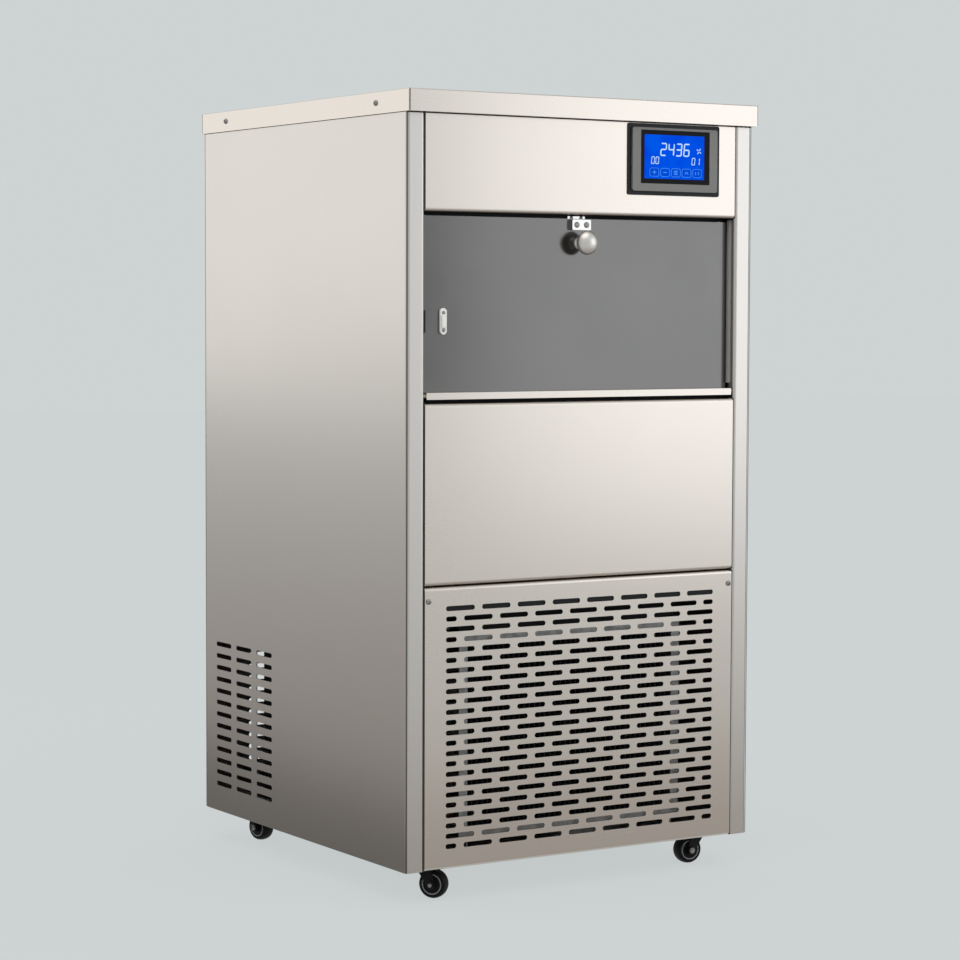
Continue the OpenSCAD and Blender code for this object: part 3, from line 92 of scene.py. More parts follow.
class Grain(Enum):
    """Way that the brushing of a sheet runs, as a stretch of its noise along X, Y and Z."""

    ACROSS = (7.0, 700.0, 900.0)
    UPRIGHT = (900.0, 900.0, 5.0)
    TURNED = (60.0, 60.0, 2600.0)


class Axis(Enum):
    """Direction that a fastener's head looks."""

    FRONT = (0.0, -1.0, 0.0)
    BACK = (0.0, 1.0, 0.0)
    LEFT = (-1.0, 0.0, 0.0)
    RIGHT = (1.0, 0.0, 0.0)


class Layer(Enum):
    """Height of a mark on the display, in layers over its lens."""

    SCREEN = 1
    KEY = 2
    MARK = 3


Place = tuple[Axis, Point3, float]


class Tree:
    """Thin wrapper round a node tree that places nodes and joins their sockets."""

    def __init__(self, tree: NodeTree) -> None:
        """Keeps the tree of a material, world or group."""
        self.tree = tree

    @classmethod
    def emptied(cls, block: bpy.types.ID) -> "Tree":
        """Takes every node out of a material or world.

        Args:
            block: Material or world.

        Returns:
            Its tree.
        """
        block.use_nodes = True
        block.node_tree.nodes.clear()
        return cls(block.node_tree)

    def fill(self, node: Node, values: dict) -> None:
        """Sets inputs of a node.

        Args:
            node: The node.
            values: Input names with values to set, or with sockets to join.
        """
        for name, value in values.items():
            if isinstance(value, Socket):
                self.tree.links.new(value, node.inputs[name])
            else:
                node.inputs[name].default_value = value

    def add(self, kind: str, values: dict | None = None, **props: object) -> Node:
        """Places a node.

        Args:
            kind: Blender's identifier of the node.
            values: Input names with values to set, or with sockets to join.
            **props: Properties of the node itself.

        Returns:
            The new node.
        """
        node = self.tree.nodes.new(kind)
        for name, value in props.items():
            setattr(node, name, value)
        self.fill(node, values or {})
        return node

    def effect(self, group: NodeTree, **values: object) -> Sequence[Socket]:
        """Places a shared group with its own values and gives its outputs."""
        return self.add("ShaderNodeGroup", values, node_tree=group).outputs

    def noise(self, **values: object) -> Socket:
        """Places a noise and gives its value."""
        return self.add("ShaderNodeTexNoise", values).outputs["Fac"]

    def math(self, operation: str, a: Socket, b: Socket | float) -> Socket:
        """Works out one value from two."""
        return self.add("ShaderNodeMath", {0: a, 1: b}, operation=operation).outputs["Value"]

    def ramp(self, source: Socket, low: Color, high: Color) -> Socket:
        """Turns a value into a colour between two.

        Args:
            source: Value from 0 to 1.
            low: Colour at 0.
            high: Colour at 1.

        Returns:
            Colour socket.
        """
        node = self.add("ShaderNodeValToRGB", {"Fac": source})
        for element, color in zip(node.color_ramp.elements, (low, high)):
            element.color = (*color, 1.0)
        return node.outputs["Color"]

    def spread(self, source: Socket, low: float, high: float) -> Socket:
        """Maps a value of 0 to 1 onto a range."""
        values = {"Value": source, "To Min": low, "To Max": high}
        return self.add("ShaderNodeMapRange", values).outputs["Result"]


class Effects:
    """Shader node groups that several finishes share, each built on its first use."""

    @staticmethod
    def start(name: str, given: str, value: float | Point3,
              outputs: Sequence[str]) -> tuple[Tree, Socket, Socket]:
        """Opens a group with its sockets.

        Args:
            name: Name of the group.
            given: Name of its input.
            value: First value of the input.
            outputs: Names of its value outputs.

        Returns:
            Tree of the group, the place on the object and the input.
        """
        group = bpy.data.node_groups.new(name, "ShaderNodeTree")
        kind = "NodeSocketVector" if isinstance(value, tuple) else "NodeSocketFloat"
        socket = group.interface.new_socket(name=given, in_out="INPUT", socket_type=kind)
        socket.default_value = value
        for key in outputs:
            group.interface.new_socket(name=key, in_out="OUTPUT", socket_type="NodeSocketFloat")
        tree = Tree(group)
        place = tree.add("ShaderNodeTexCoord").outputs["Object"]
        return tree, place, tree.add("NodeGroupInput").outputs[given]

    @cached_property
    def brush_lines(self) -> NodeTree:
        """Long fine lines of brushed or turned metal: stretched noise in two widths.

        Returns:
            The node group.
        """
        tree, place, stretch = self.start(
            "Brush Lines", "Stretch", Grain.ACROSS.value, ["Tone", "Height"])
        mapping = tree.add("ShaderNodeMapping", {"Vector": place, "Scale": stretch})
        place = mapping.outputs["Vector"]
        lines = tree.noise(Vector=place, Scale=1.0, Detail=5.0, Roughness=0.7)
        coarse = tree.noise(Vector=place, Scale=0.13, Detail=2.0)
        tone = tree.math("MULTIPLY", tree.math("ADD", lines, coarse), 0.5)
        tree.add("NodeGroupOutput", {"Tone": tone, "Height": lines})
        return tree.tree

    @cached_property
    def soft_cloud(self) -> NodeTree:
        """Broad soft patches, as handling leaves on a surface: low noise in a smooth step.

        Returns:
            The node group.
        """
        tree, place, scale = self.start("Soft Cloud", "Scale", 6.0, ["Mask"])
        noise = tree.noise(Vector=place, Scale=scale, Detail=3.0, Roughness=0.55)
        step = tree.add("ShaderNodeMapRange", {"Value": noise, "From Min": 0.3, "From Max": 0.7},
                        interpolation_type="SMOOTHSTEP")
        tree.add("NodeGroupOutput", {"Mask": step.outputs["Result"]})
        return tree.tree

    @cached_property
    def moulded_grain(self) -> NodeTree:
        """Fine leathery grain of moulded plastic, rubber and paint: cells broken up by noise.

        Returns:
            The node group.
        """
        tree, place, scale = self.start("Moulded Grain", "Scale", 900.0, ["Height", "Tone"])
        cells = tree.add("ShaderNodeTexVoronoi", {"Vector": place, "Scale": scale})
        noise = tree.noise(Vector=place, Scale=scale, Detail=4.0)
        height = tree.math("MULTIPLY", cells.outputs["Distance"], noise)
        tree.add("NodeGroupOutput", {"Height": height, "Tone": noise})
        return tree.tree

    @cached_property
    def crystal_patches(self) -> NodeTree:
        """Crystal patches of hot-dip zinc: one tone a cell.

        Returns:
            The node group.
        """
        tree, place, scale = self.start("Crystal Patches", "Scale", 150.0, ["Tone"])
        cells = tree.add("ShaderNodeTexVoronoi", {"Vector": place, "Scale": scale})
        tone = tree.add("ShaderNodeSeparateColor", {"Color": cells.outputs["Color"]})
        tree.add("NodeGroupOutput", {"Tone": tone.outputs["Red"]})
        return tree.tree


EFFECTS = Effects()


@dataclass(frozen=True)
class Finish:
    """Base of every finish."""

    name: str
    color: Color
    roughness: float = 0.5
    metallic: float = 0.0
    contrast: float = 0.12

    def tones(self) -> list[Color]:
        """Darker and lighter colour about the finish's own."""
        shares = (1.0 - self.contrast, 1.0 + self.contrast)
        return [tuple(min(1.0, c * share) for c in self.color) for share in shares]

    @cached_property
    def material(self) -> Material:
        """The finish's material, made on its first use.

        Returns:
            The material.
        """
        surface = Surface(self)
        self.dress(surface)
        return surface.material

    def dress(self, surface: "Surface") -> None:
        """Joins the effects to the shader; each kind of finish has its own."""
        raise NotImplementedError


class Surface(Tree):
    """Tree of a finish's material: one principled shader with shared effects in front of it."""

    def __init__(self, finish: Finish) -> None:
        """Makes the bare material.

        Args:
            finish: The finish.
        """
        self.finish, self.material = finish, bpy.data.materials.new(finish.name)
        super().__init__(Tree.emptied(self.material).tree)
        self.shader = self.add("ShaderNodeBsdfPrincipled", {
            "Base Color": (*finish.color, 1.0), "Roughness": finish.roughness,
            "Metallic": finish.metallic})
        self.add("ShaderNodeOutputMaterial", {"Surface": self.shader.outputs["BSDF"]})

    def tint(self, source: Socket) -> None:
        """Lets a value move the colour a little darker and lighter."""
        self.fill(self.shader, {"Base Color": self.ramp(source, *self.finish.tones())})

    def gloss(self, source: Socket, less: float, more: float) -> None:
        """Lets a value move the roughness by up to a step down and a step up."""
        low, high = self.finish.roughness - less, self.finish.roughness + more
        self.fill(self.shader, {"Roughness": self.spread(source, low, high)})

    def bump(self, height: Socket, strength: float, distance: float) -> None:
        """Joins a height to the shader's normal."""
        values = {"Height": height, "Strength": strength, "Distance": distance}
        self.fill(self.shader, {"Normal": self.add("ShaderNodeBump", values).outputs["Normal"]})


@dataclass(frozen=True)
class BrushedSheet(Finish):
    """Brushed or turned metal: fine lines in tone, gloss and height, with handling marks."""

    metallic: float = 1.0
    grain: Grain = Grain.ACROSS
    spread: float = 0.05
    depth: float = 0.08
    groove: float = 0.1 * MM

    def dress(self, surface: Surface) -> None:
        """Joins the lines and the handling marks.

        Args:
            surface: Surface of the material.
        """
        lines = surface.effect(EFFECTS.brush_lines, Stretch=self.grain.value)
        cloud = surface.effect(EFFECTS.soft_cloud)
        mixed = surface.add("ShaderNodeMix", {
            "Factor": 0.5, "A": lines["Tone"], "B": cloud["Mask"]}, data_type="FLOAT")
        surface.tint(lines["Tone"])
        surface.gloss(mixed.outputs["Result"], self.spread, self.spread)
        if self.depth:
            surface.bump(lines["Height"], self.depth, self.groove)


@dataclass(frozen=True)
class ZincSheet(Finish):
    """Galvanised sheet with crystal patches."""

    metallic: float = 1.0
    contrast: float = 0.22
    spread: float = 0.08

    def dress(self, surface: Surface) -> None:
        """Joins the patches.

        Args:
            surface: Surface of the material.
        """
        tone = surface.effect(EFFECTS.crystal_patches)["Tone"]
        surface.tint(tone)
        surface.gloss(tone, self.spread, self.spread)


@dataclass(frozen=True)
class Moulded(Finish):
    """Moulded plastic, rubber, enamel or foam: grain in height and a little in tone."""

    scale: float = 900.0
    depth: float = 0.12
    coat: float = 0.0
    shine: float = 0.5
    patch: float = 14.0
    spread: float = 0.05
    groove: float = 0.2 * MM
    coat_roughness: float = 0.12

    def dress(self, surface: Surface) -> None:
        """Joins the grain and the handling marks.

        Args:
            surface: Surface of the material.
        """
        grain = surface.effect(EFFECTS.moulded_grain, Scale=self.scale)
        cloud = surface.effect(EFFECTS.soft_cloud, Scale=self.patch)
        surface.tint(grain["Tone"])
        surface.gloss(cloud["Mask"], self.spread, self.spread)
        surface.fill(surface.shader, {
            "Specular IOR Level": self.shine, "Coat Weight": self.coat,
            "Coat Roughness": self.coat_roughness})
        if self.depth:
            surface.bump(grain["Height"], self.depth, self.groove)


@dataclass(frozen=True)
class SmokedGlazing(Finish):
    """Dark half-mirror glazing with a faint film of handling."""

    contrast: float = 0.04
    patch: float = 9.0
    film: float = 0.025

    def dress(self, surface: Surface) -> None:
        """Joins the film.

        Args:
            surface: Surface of the material.
        """
        mask = surface.effect(EFFECTS.soft_cloud, Scale=self.patch)["Mask"]
        surface.tint(mask)
        surface.gloss(mask, 0.0, self.film)


@dataclass(frozen=True)
class LitScreen(Finish):
    """Back-lit screen with soft patches of a second blue."""

    strength: float = 1.0
    edge: Color = (0.02, 0.36, 1.0)
    patch: float = 24.0

    def dress(self, surface: Surface) -> None:
        """Lights the screen.

        Args:
            surface: Surface of the material.
        """
        mask = surface.effect(EFFECTS.soft_cloud, Scale=self.patch)["Mask"]
        surface.fill(surface.shader, {
            "Emission Color": surface.ramp(mask, self.color, self.edge),
            "Emission Strength": self.strength, "Base Color": (0.0, 0.0, 0.0, 1.0),
            "Specular IOR Level": 0.0})


FRONT_STEEL = BrushedSheet(
    "front_steel", (0.682, 0.614, 0.554), 0.27, contrast=0.012, spread=0.012, depth=0.0)
SIDE_STEEL = BrushedSheet(
    "side_steel", (0.637, 0.589, 0.549), 0.32, contrast=0.012, grain=Grain.UPRIGHT,
    spread=0.012, depth=0.0)
SATIN_NICKEL = BrushedSheet(
    "satin_nickel", (0.75, 0.70, 0.66), 0.36, contrast=0.03, grain=Grain.TURNED, depth=0.0)
SCREW_STEEL = BrushedSheet(
    "screw_steel", (0.34, 0.33, 0.32), 0.28, contrast=0.08, grain=Grain.TURNED, depth=0.03)
# Dark steel for the thin strips at the folded corners: painted shade, standing in for the dark line
# that a tight fold shows.
FOLD_SHADE = BrushedSheet(
    "fold_shade", (0.15, 0.14, 0.125), 0.36, contrast=0.08, grain=Grain.UPRIGHT, depth=0.0)
TURNED_BRASS = BrushedSheet("turned_brass", (0.70, 0.50, 0.21), 0.28, grain=Grain.TURNED)
JACKET_FOAM = Moulded(
    "jacket_foam", (0.022, 0.022, 0.024), 0.8, scale=420.0, depth=0.5, shine=0.15)
BLACK_RUBBER = Moulded("black_rubber", (0.010, 0.010, 0.010), 0.66, depth=0.15, shine=0.2)
RING_GREY = Moulded("ring_grey", (0.22, 0.228, 0.228), 0.4, depth=0.05)
# Near-black for strips in the gaps under the top cover and beside the front panels: painted shade,
# standing in for the shadow in those gaps.
GAP_SHADE_DARK = Moulded("gap_painted_shade", (0.048, 0.045, 0.042), 0.7, depth=0.1, shine=0.2)
SEAL_GREY = Moulded("seal_grey", (0.25, 0.248, 0.243), 0.5, depth=0.1, shine=0.3)
SCREEN_BLUE = LitScreen("screen_blue", (0.0, 0.056, 0.72), 0.3, edge=(0.0, 0.10, 0.82))
SCREEN_MARK = LitScreen("screen_mark", (0.42, 0.68, 0.98), 0.3, edge=(0.62, 0.84, 1.0))
SCREEN_KEY = LitScreen("screen_key", (0.0, 0.055, 0.60), 0.3, edge=(0.0, 0.08, 0.70))
SCREEN_LINE = LitScreen("screen_line", (0.06, 0.30, 0.95), 0.3, edge=(0.10, 0.40, 1.0))

SLOT_FINISH: dict[str, Finish] = {
    "stainless": FRONT_STEEL,
    "screw_steel": SCREW_STEEL,
    "brass": TURNED_BRASS,
    "black_foam": JACKET_FOAM,
    "rubber": BLACK_RUBBER,
    "galvanised": ZincSheet("galvanised", (0.44, 0.435, 0.42), 0.42),
    "polished_steel": BrushedSheet(
        "polished_steel", (0.62, 0.60, 0.57), 0.14, contrast=0.05, grain=Grain.TURNED, depth=0.02),
    "machined_steel": BrushedSheet("turned_steel", (0.52, 0.52, 0.52), 0.32, grain=Grain.TURNED),
    "copper": BrushedSheet(
        "copper_tube", (0.68, 0.30, 0.17), 0.32, contrast=0.2, grain=Grain.TURNED),
    "fin_stock": BrushedSheet(
        "condenser_fins", (0.035, 0.035, 0.037), 0.5, metallic=0.5, grain=Grain.UPRIGHT),
    "smoked_glazing": SmokedGlazing("smoked_glazing", (0.152, 0.145, 0.140), 0.15, 0.92),
    "black_plastic": Moulded("black_moulded", (0.008, 0.008, 0.0085), 0.42, shine=0.25),
    "grey_plastic": Moulded("bezel_grey", (0.157, 0.156, 0.149), 0.4, depth=0.06),
    "lens": Moulded("lens_black", (0.003, 0.003, 0.004), 0.2, depth=0.0, shine=0.08),
    "white_plastic": Moulded(
        "white_moulded", (0.76, 0.76, 0.74), 0.32, depth=0.05, contrast=0.03),
    "orange_plastic": Moulded("float_orange", (0.72, 0.20, 0.03), 0.34, depth=0.05),
    "caster_tread": Moulded(
        "wheel_black", (0.0035, 0.0035, 0.0035), 0.45, depth=0.08, shine=0.14),
    "black_paint": Moulded(
        "black_enamel", (0.006, 0.006, 0.0065), 0.38, scale=500.0, depth=0.1, shine=0.2),
    "grey_paint": Moulded(
        "grey_enamel", (0.085, 0.10, 0.115), 0.34, scale=500.0, depth=0.1, coat=0.2),
}
NODE_FINISH: dict[str, Finish] = {
    "door_knob": SATIN_NICKEL, "left_side_panel": SIDE_STEEL, "right_side_panel": SIDE_STEEL,
    "back_panel": SIDE_STEEL,
}


class Bench:
    """Mesh tools that the sub-assemblies share."""

    @staticmethod
    def put(name: str, bm: BMesh) -> Object:
        """Turns a mesh under construction into an object of the scene.

        Args:
            name: Name of the object and its mesh.
            bm: Mesh under construction, freed here.

        Returns:
            The new object.
        """
        mesh = bpy.data.meshes.new(name)
        bm.to_mesh(mesh)
        bm.free()
        obj = bpy.data.objects.new(name, mesh)
        bpy.context.scene.collection.objects.link(obj)
        return obj

    @staticmethod
    def piece(name: str, bm: BMesh, finish: Finish, body: str, slot: str,
              smooth: bool = True) -> Object:
        """Turns a mesh under construction into a finished piece on a body.

        Args:
            name: Name of the piece.
            bm: Mesh under construction, freed here.
            finish: Its finish.
            body: Body that it rides on.
            slot: Material slot of the record; not used.
            smooth: Whether faces under a small angle shade smoothly.

        Returns:
            The new object.
        """
        bmesh.ops.remove_doubles(bm, verts=bm.verts, dist=WELD)
        bmesh.ops.recalc_face_normals(bm, faces=bm.faces)
        obj = Bench.put(name, bm)
        if smooth:
            obj.data.shade_smooth()
            obj.data.set_sharp_from_angle(angle=SHARP)
        obj.data.materials.append(finish.material)
        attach(obj, body)
        LOG.info("made %s on %s, %d faces", name, body, len(obj.data.polygons))
        return obj

    @staticmethod
    def sheet(name: str, low: Point2, high: Point2, z: float, material: Material) -> Object:
        """Lays a flat sheet that belongs to the stage.

        Args:
            name: Name of the sheet.
            low: Lowest x and y.
            high: Highest x and y.
            z: Height over the floor.
            material: Its material.

        Returns:
            The new object.
        """
        corners = [low, (high[0], low[1]), high, (low[0], high[1])]
        bm = bmesh.new()
        bm.faces.new([bm.verts.new((x, y, z)) for x, y in corners])
        obj = Bench.put(name, bm)
        obj.data.materials.append(material)
        return obj

    @staticmethod
    def lathe(profile: Sequence[Point2], steps: int) -> BMesh:
        """Turns a profile about Z.

        Args:
            profile: Points as radius and height.
            steps: Steps round the axis.

        Returns:
            Mesh under construction.
        """
        bm = bmesh.new()
        verts = [bm.verts.new((r, 0.0, h)) for r, h in profile]
        edges = [bm.edges.new(pair) for pair in zip(verts, verts[1:])]
        bmesh.ops.spin(bm, geom=verts + edges, cent=(0, 0, 0), axis=UP, angle=math.tau, steps=steps)
        bmesh.ops.remove_doubles(bm, verts=bm.verts, dist=SEAM)
        return bm

    @staticmethod
    def loft(bm: BMesh, near: Sequence[Point3], far: Sequence[Point3]) -> None:
        """Adds a closed bar between two rings of points.

        Args:
            bm: Mesh under construction.
            near: Points of one end.
            far: Points of the other end, in the same order.
        """
        a, b = ([bm.verts.new(point) for point in ring] for ring in (near, far))
        bm.faces.new(a)
        bm.faces.new(b[::-1])
        for i in range(len(a)):
            j = (i + 1) % len(a)
            bm.faces.new((a[i], b[i], b[j], a[j]))

    @staticmethod
    def prism(bm: BMesh, outline: Sequence[Point2], front: float, back: float) -> None:
        """Adds a plate that faces the front, from its outline in x and z."""
        Bench.loft(bm, *([(x, y, z) for x, z in outline] for y in (front, back)))

    @staticmethod
    def upright(bm: BMesh, plan: Sequence[Point2], low: float, high: float) -> None:
        """Adds an upright bar, from its section in x and y."""
        Bench.loft(bm, *([(x, y, z) for x, y in plan] for z in (low, high)))

    @staticmethod
    def slab(bm: BMesh, low: Point3, high: Point3) -> None:
        """Adds a box between two corners."""
        outline = [(low[0], low[2]), (high[0], low[2]), (high[0], high[2]), (low[0], high[2])]
        Bench.prism(bm, outline, low[1], high[1])

    @staticmethod
    def soft_rect(x: float, z: float, w: float, h: float, r: float, steps: int = 5) -> list[Point2]:
        """Outline of a rectangle with round corners.

        Args:
            x: Middle in x.
            z: Middle in z.
            w: Width.
            h: Height.
            r: Corner radius.
            steps: Steps in each corner.

        Returns:
            Points as x and z.
        """
        points: list[Point2] = []
        for quarter, (sx, sz) in enumerate([(1, 1), (-1, 1), (-1, -1), (1, -1)]):
            cx, cz = x + sx * (w / 2 - r), z + sz * (h / 2 - r)
            for i in range(steps + 1):
                a = math.radians(90.0 * (quarter + i / steps))
                points.append((cx + r * math.cos(a), cz + r * math.sin(a)))
        return points

    @staticmethod
    def merge(bm: BMesh, part: BMesh, place: Matrix) -> None:
        """Copies one mesh into another at a place.

        Args:
            bm: Mesh that takes the copy.
            part: Mesh that is copied.
            place: Where the copy goes.
        """
        mesh = bpy.data.meshes.new("part")
        part.to_mesh(mesh)
        mesh.transform(place)
        bm.from_mesh(mesh)
        bpy.data.meshes.remove(mesh)

    @staticmethod
    def facing(way: Sequence[float], at: Sequence[float], turn: float = 0.0) -> Matrix:
        """Matrix that takes +Z to a direction at a place, with a turn in degrees about it."""
        spin = Vector(UP).rotation_difference(Vector(way)).to_matrix().to_4x4()
        return Matrix.Translation(at) @ spin @ Matrix.Rotation(math.radians(turn), 4, "Z")


@dataclass(frozen=True)
class CrossScrew:
    """Pan-head screw with a cross recess, its seat at z = 0 and its head towards +Z."""

    head_r: float
    head_h: float
    shank_r: float
    shank_l: float
    rim: float = 0.35
    recess: float = 0.62
    slot: float = 0.3
    cut: float = 1.1
    steps: int = 28

    def profile(self) -> list[Point2]:
        """Outline of shank and domed head.

        Returns:
            Points as radius and height.
        """
        r, h, shank = self.head_r, self.head_h, self.shank_r
        points = [(0.0, -self.shank_l), (shank, -self.shank_l), (shank, 0.0), (r, 0.0)]
        for a in map(math.radians, range(0, 90, 15)):
            points.append((r * math.cos(a), h * (self.rim + (1.0 - self.rim) * math.sin(a))))
        return [*points, (0.0, h)]

    def mesh(self) -> BMesh:
        """Builds head, shank and recess.

        Returns:
            Mesh under construction.
        """
        r, h = self.head_r, self.head_h
        blank, cutter = Bench.lathe(self.profile(), self.steps), bmesh.new()
        size = Matrix.Diagonal((2 * r * self.recess, self.slot * r, self.cut * h, 1.0))
        for a in (0.0, 90.0):
            place = Matrix.Translation((0, 0, h)) @ Matrix.Rotation(math.radians(a), 4, "Z")
            bmesh.ops.create_cube(cutter, size=1.0, matrix=place @ size)
        for part in (blank, cutter):
            bmesh.ops.recalc_face_normals(part, faces=part.faces)
        head, tool = Bench.put("screw_blank", blank), Bench.put("screw_cutter", cutter)
        carve = head.modifiers.new("recess", "BOOLEAN")
        carve.operation, carve.solver = "DIFFERENCE", "EXACT"
        carve.object, carve.use_self = tool, True
        shown = head.evaluated_get(bpy.context.evaluated_depsgraph_get())
        bm = bmesh.new()
        bm.from_mesh(bpy.data.meshes.new_from_object(shown))
        for obj in (head, tool):
            bpy.data.objects.remove(obj)
        return bm

    def set_in(self, bm: BMesh, places: Iterable[Place]) -> None:
        """Sets a copy of the screw at each place.

        Args:
            bm: Mesh under construction.
            places: Direction, place and turn of each copy.
        """
        screw = self.mesh()
        for axis, at, turn in places:
            Bench.merge(bm, screw, Bench.facing(axis.value, at, turn))
        screw.free()


@dataclass
class Fasteners:
    """Screws of the top cover, the grille, the catch keeper and the back."""

    panel: CrossScrew = CrossScrew(3.4 * MM, 2.3 * MM, 1.9 * MM, 7.0 * MM)
    keeper: CrossScrew = CrossScrew(2.4 * MM, 1.1 * MM, 1.1 * MM, 1.1 * MM)
    back: CrossScrew = CrossScrew(3.2 * MM, 2.0 * MM, 1.8 * MM, 1.0 * MM)
    cover_in: float = 68.0 * MM
    cover_turns: tuple[Point2, Point2] = ((20.0, 65.0), (50.0, 35.0))
    grille_in: float = 5.0 * MM
    grille_down: float = 16.6 * MM
    grille_turns: Point2 = (15.0, 50.0)
    keeper_x: float = 7.0 * MM
    keeper_up: float = 1.0 * MM
    keeper_turn: float = 30.0
    back_inset: float = 7.5 * MM
    back_step: float = 0.145
    back_turn: float = 25.0

    def places(self) -> list[Place]:
        """Works out the cover and grille screws from the solids that they replace.

        Returns:
            Direction, place and turn of each screw.
        """
        found: list[Place] = []
        low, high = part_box("top_cover")
        z = (low.z + high.z) / 2
        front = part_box("control_panel")[0].y + self.cover_in
        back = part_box("back_panel")[1].y - self.cover_in
        for y, (left, right) in zip((front, back), self.cover_turns):
            found.append((Axis.LEFT, (low.x, y, z), left))
            found.append((Axis.RIGHT, (high.x, y, z), right))
        low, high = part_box("grille_panel")
        x, z = high.x - self.grille_in, high.z - self.grille_down
        for side, turn in zip(SIDES, self.grille_turns):
            found.append((Axis.FRONT, (side * x, low.y, z), turn))
        return found

    def build(self) -> None:
        """Builds every set of screws."""
        bm = bmesh.new()
        self.panel.set_in(bm, self.places())
        y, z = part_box("catch_keeper")[0].y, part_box("door_panel")[1].z + self.keeper_up
        self.keeper.set_in(bm, [
            (Axis.FRONT, (side * self.keeper_x, y, z), self.keeper_turn) for side in SIDES])
        screws = Bench.piece("panel_screw_set", bm, SCREW_STEEL, "cabinet", "screw_steel")
        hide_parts("panel_screws")
        self.build_back()

    def build_back(self) -> None:
        """Sets a row of screws down both edges of the back panel."""
        low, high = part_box("back_panel")
        rows = int((high.z - low.z) / self.back_step)
        gap = (high.z - low.z - 2 * self.back_inset) / rows
        x, z = high.x - self.back_inset, low.z + self.back_inset
        bm = bmesh.new()
        self.back.set_in(bm, [
            (Axis.BACK, (side * x, high.y, z + i * gap), self.back_turn * i)
            for side in SIDES for i in range(rows + 1)])
        Bench.piece("back_screw_set", bm, SCREW_STEEL, "cabinet", "screw_steel")


@dataclass
class DoorFittings:
    """Screws of the catch and the magnet."""

    catch: CrossScrew = CrossScrew(3.6 * MM, 1.5 * MM, 1.4 * MM, 9.5 * MM)
    magnet: CrossScrew = CrossScrew(2.2 * MM, 1.1 * MM, 1.1 * MM, 6.0 * MM)
    catch_x: float = 7.0 * MM
    catch_turns: Point2 = (10.0, 35.0)
    magnet_step: float = 10.25 * MM
    magnet_base: float = 3.0 * MM
    magnet_turn: float = 45.0

    def build(self) -> None:
        """Builds the screws."""
        bm = bmesh.new()
        low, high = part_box("catch_plate")
        z = (low.z + high.z) / 2
        self.catch.set_in(bm, [
            (Axis.FRONT, (side * self.catch_x, low.y, z), turn)
            for side, turn in zip(SIDES, self.catch_turns)])
        low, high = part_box("door_magnet")
        x, y, z = (low.x + high.x) / 2, high.y - self.magnet_base, (low.z + high.z) / 2
        self.magnet.set_in(bm, [
            (Axis.FRONT, (x, y, z + side * self.magnet_step), self.magnet_turn) for side in SIDES])
        screws = Bench.piece("catch_screw_set", bm, SCREW_STEEL, "door", "polished_steel")
        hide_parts("catch_screws")


@dataclass
class SideSeals:
    """Grey bulb seals on the posts, beside the door's glazing."""

    bulge: float = 2.6 * MM
    deep: float = 8.0 * MM
    set_back: float = 7.7 * MM
    over_rail: float = 7.0 * MM
    under_panel: float = 2.0 * MM
    off_switch: float = 1.0 * MM
    steps: int = 10

    def build(self) -> None:
        """Runs a seal down each post, and on the left one leaves the door switch free."""
        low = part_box("door_rail")[1].z + self.over_rail
        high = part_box("control_panel")[0].z - self.under_panel
        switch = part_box("door_switch")
        under, over = switch[0].z - self.off_switch, switch[1].z + self.off_switch
        bm = bmesh.new()
        for side, start, end in ((1, low, high), (-1, low, under), (-1, over, high)):
            Bench.upright(bm, self.section(side), start, end)
        Bench.piece("side_seals", bm, SEAL_GREY, "cabinet", "grey_plastic")

    def section(self, side: int) -> list[Point2]:
        """Half-oval section, flat on the post.

        Args:
            side: 1 for the right post and -1 for the left one.

        Returns:
            Points as x and y.
        """
        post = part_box("right_side_panel")[0].x
        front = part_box("control_panel")[0].y + self.set_back
        turns = [math.pi * i / self.steps for i in range(self.steps + 1)]
        return [(side * (post - self.bulge * math.sin(a)),
                 front + self.deep * (1.0 - math.cos(a)) / 2) for a in turns]


SEGMENTS = {
    "0": "abcdef", "1": "bc", "2": "abged", "3": "abgcd", "4": "fgbc", "5": "afgcd",
    "6": "afgedc", "7": "abc", "8": "abcdefg", "9": "abcdfg",
}
KEY_SIGNS: tuple[tuple[Line, ...], ...] = (
    (((-3.0, 0.0), (3.0, 0.0)), ((0.0, -2.6), (0.0, 2.6))),
    (((-3.0, 0.0), (3.0, 0.0)),),
    (((-3.0, -2.0), (3.0, -2.0)), ((-3.0, 0.0), (3.0, 0.0)), ((-3.0, 2.0), (3.0, 2.0))),
    (((-2.6, 1.6), (0.0, -1.6)), ((0.0, -1.6), (2.6, 1.6))),
    (((-2.2, -2.2), (-2.2, 2.2)), ((2.2, -2.2), (2.2, 2.2))),
)


@dataclass(frozen=True)
class Readout:
    """Row of figures, in millimetres from the screen's upper left corner."""

    figures: str
    left: float
    top: float
    step: float
    width: float
    height: float
    segment: float


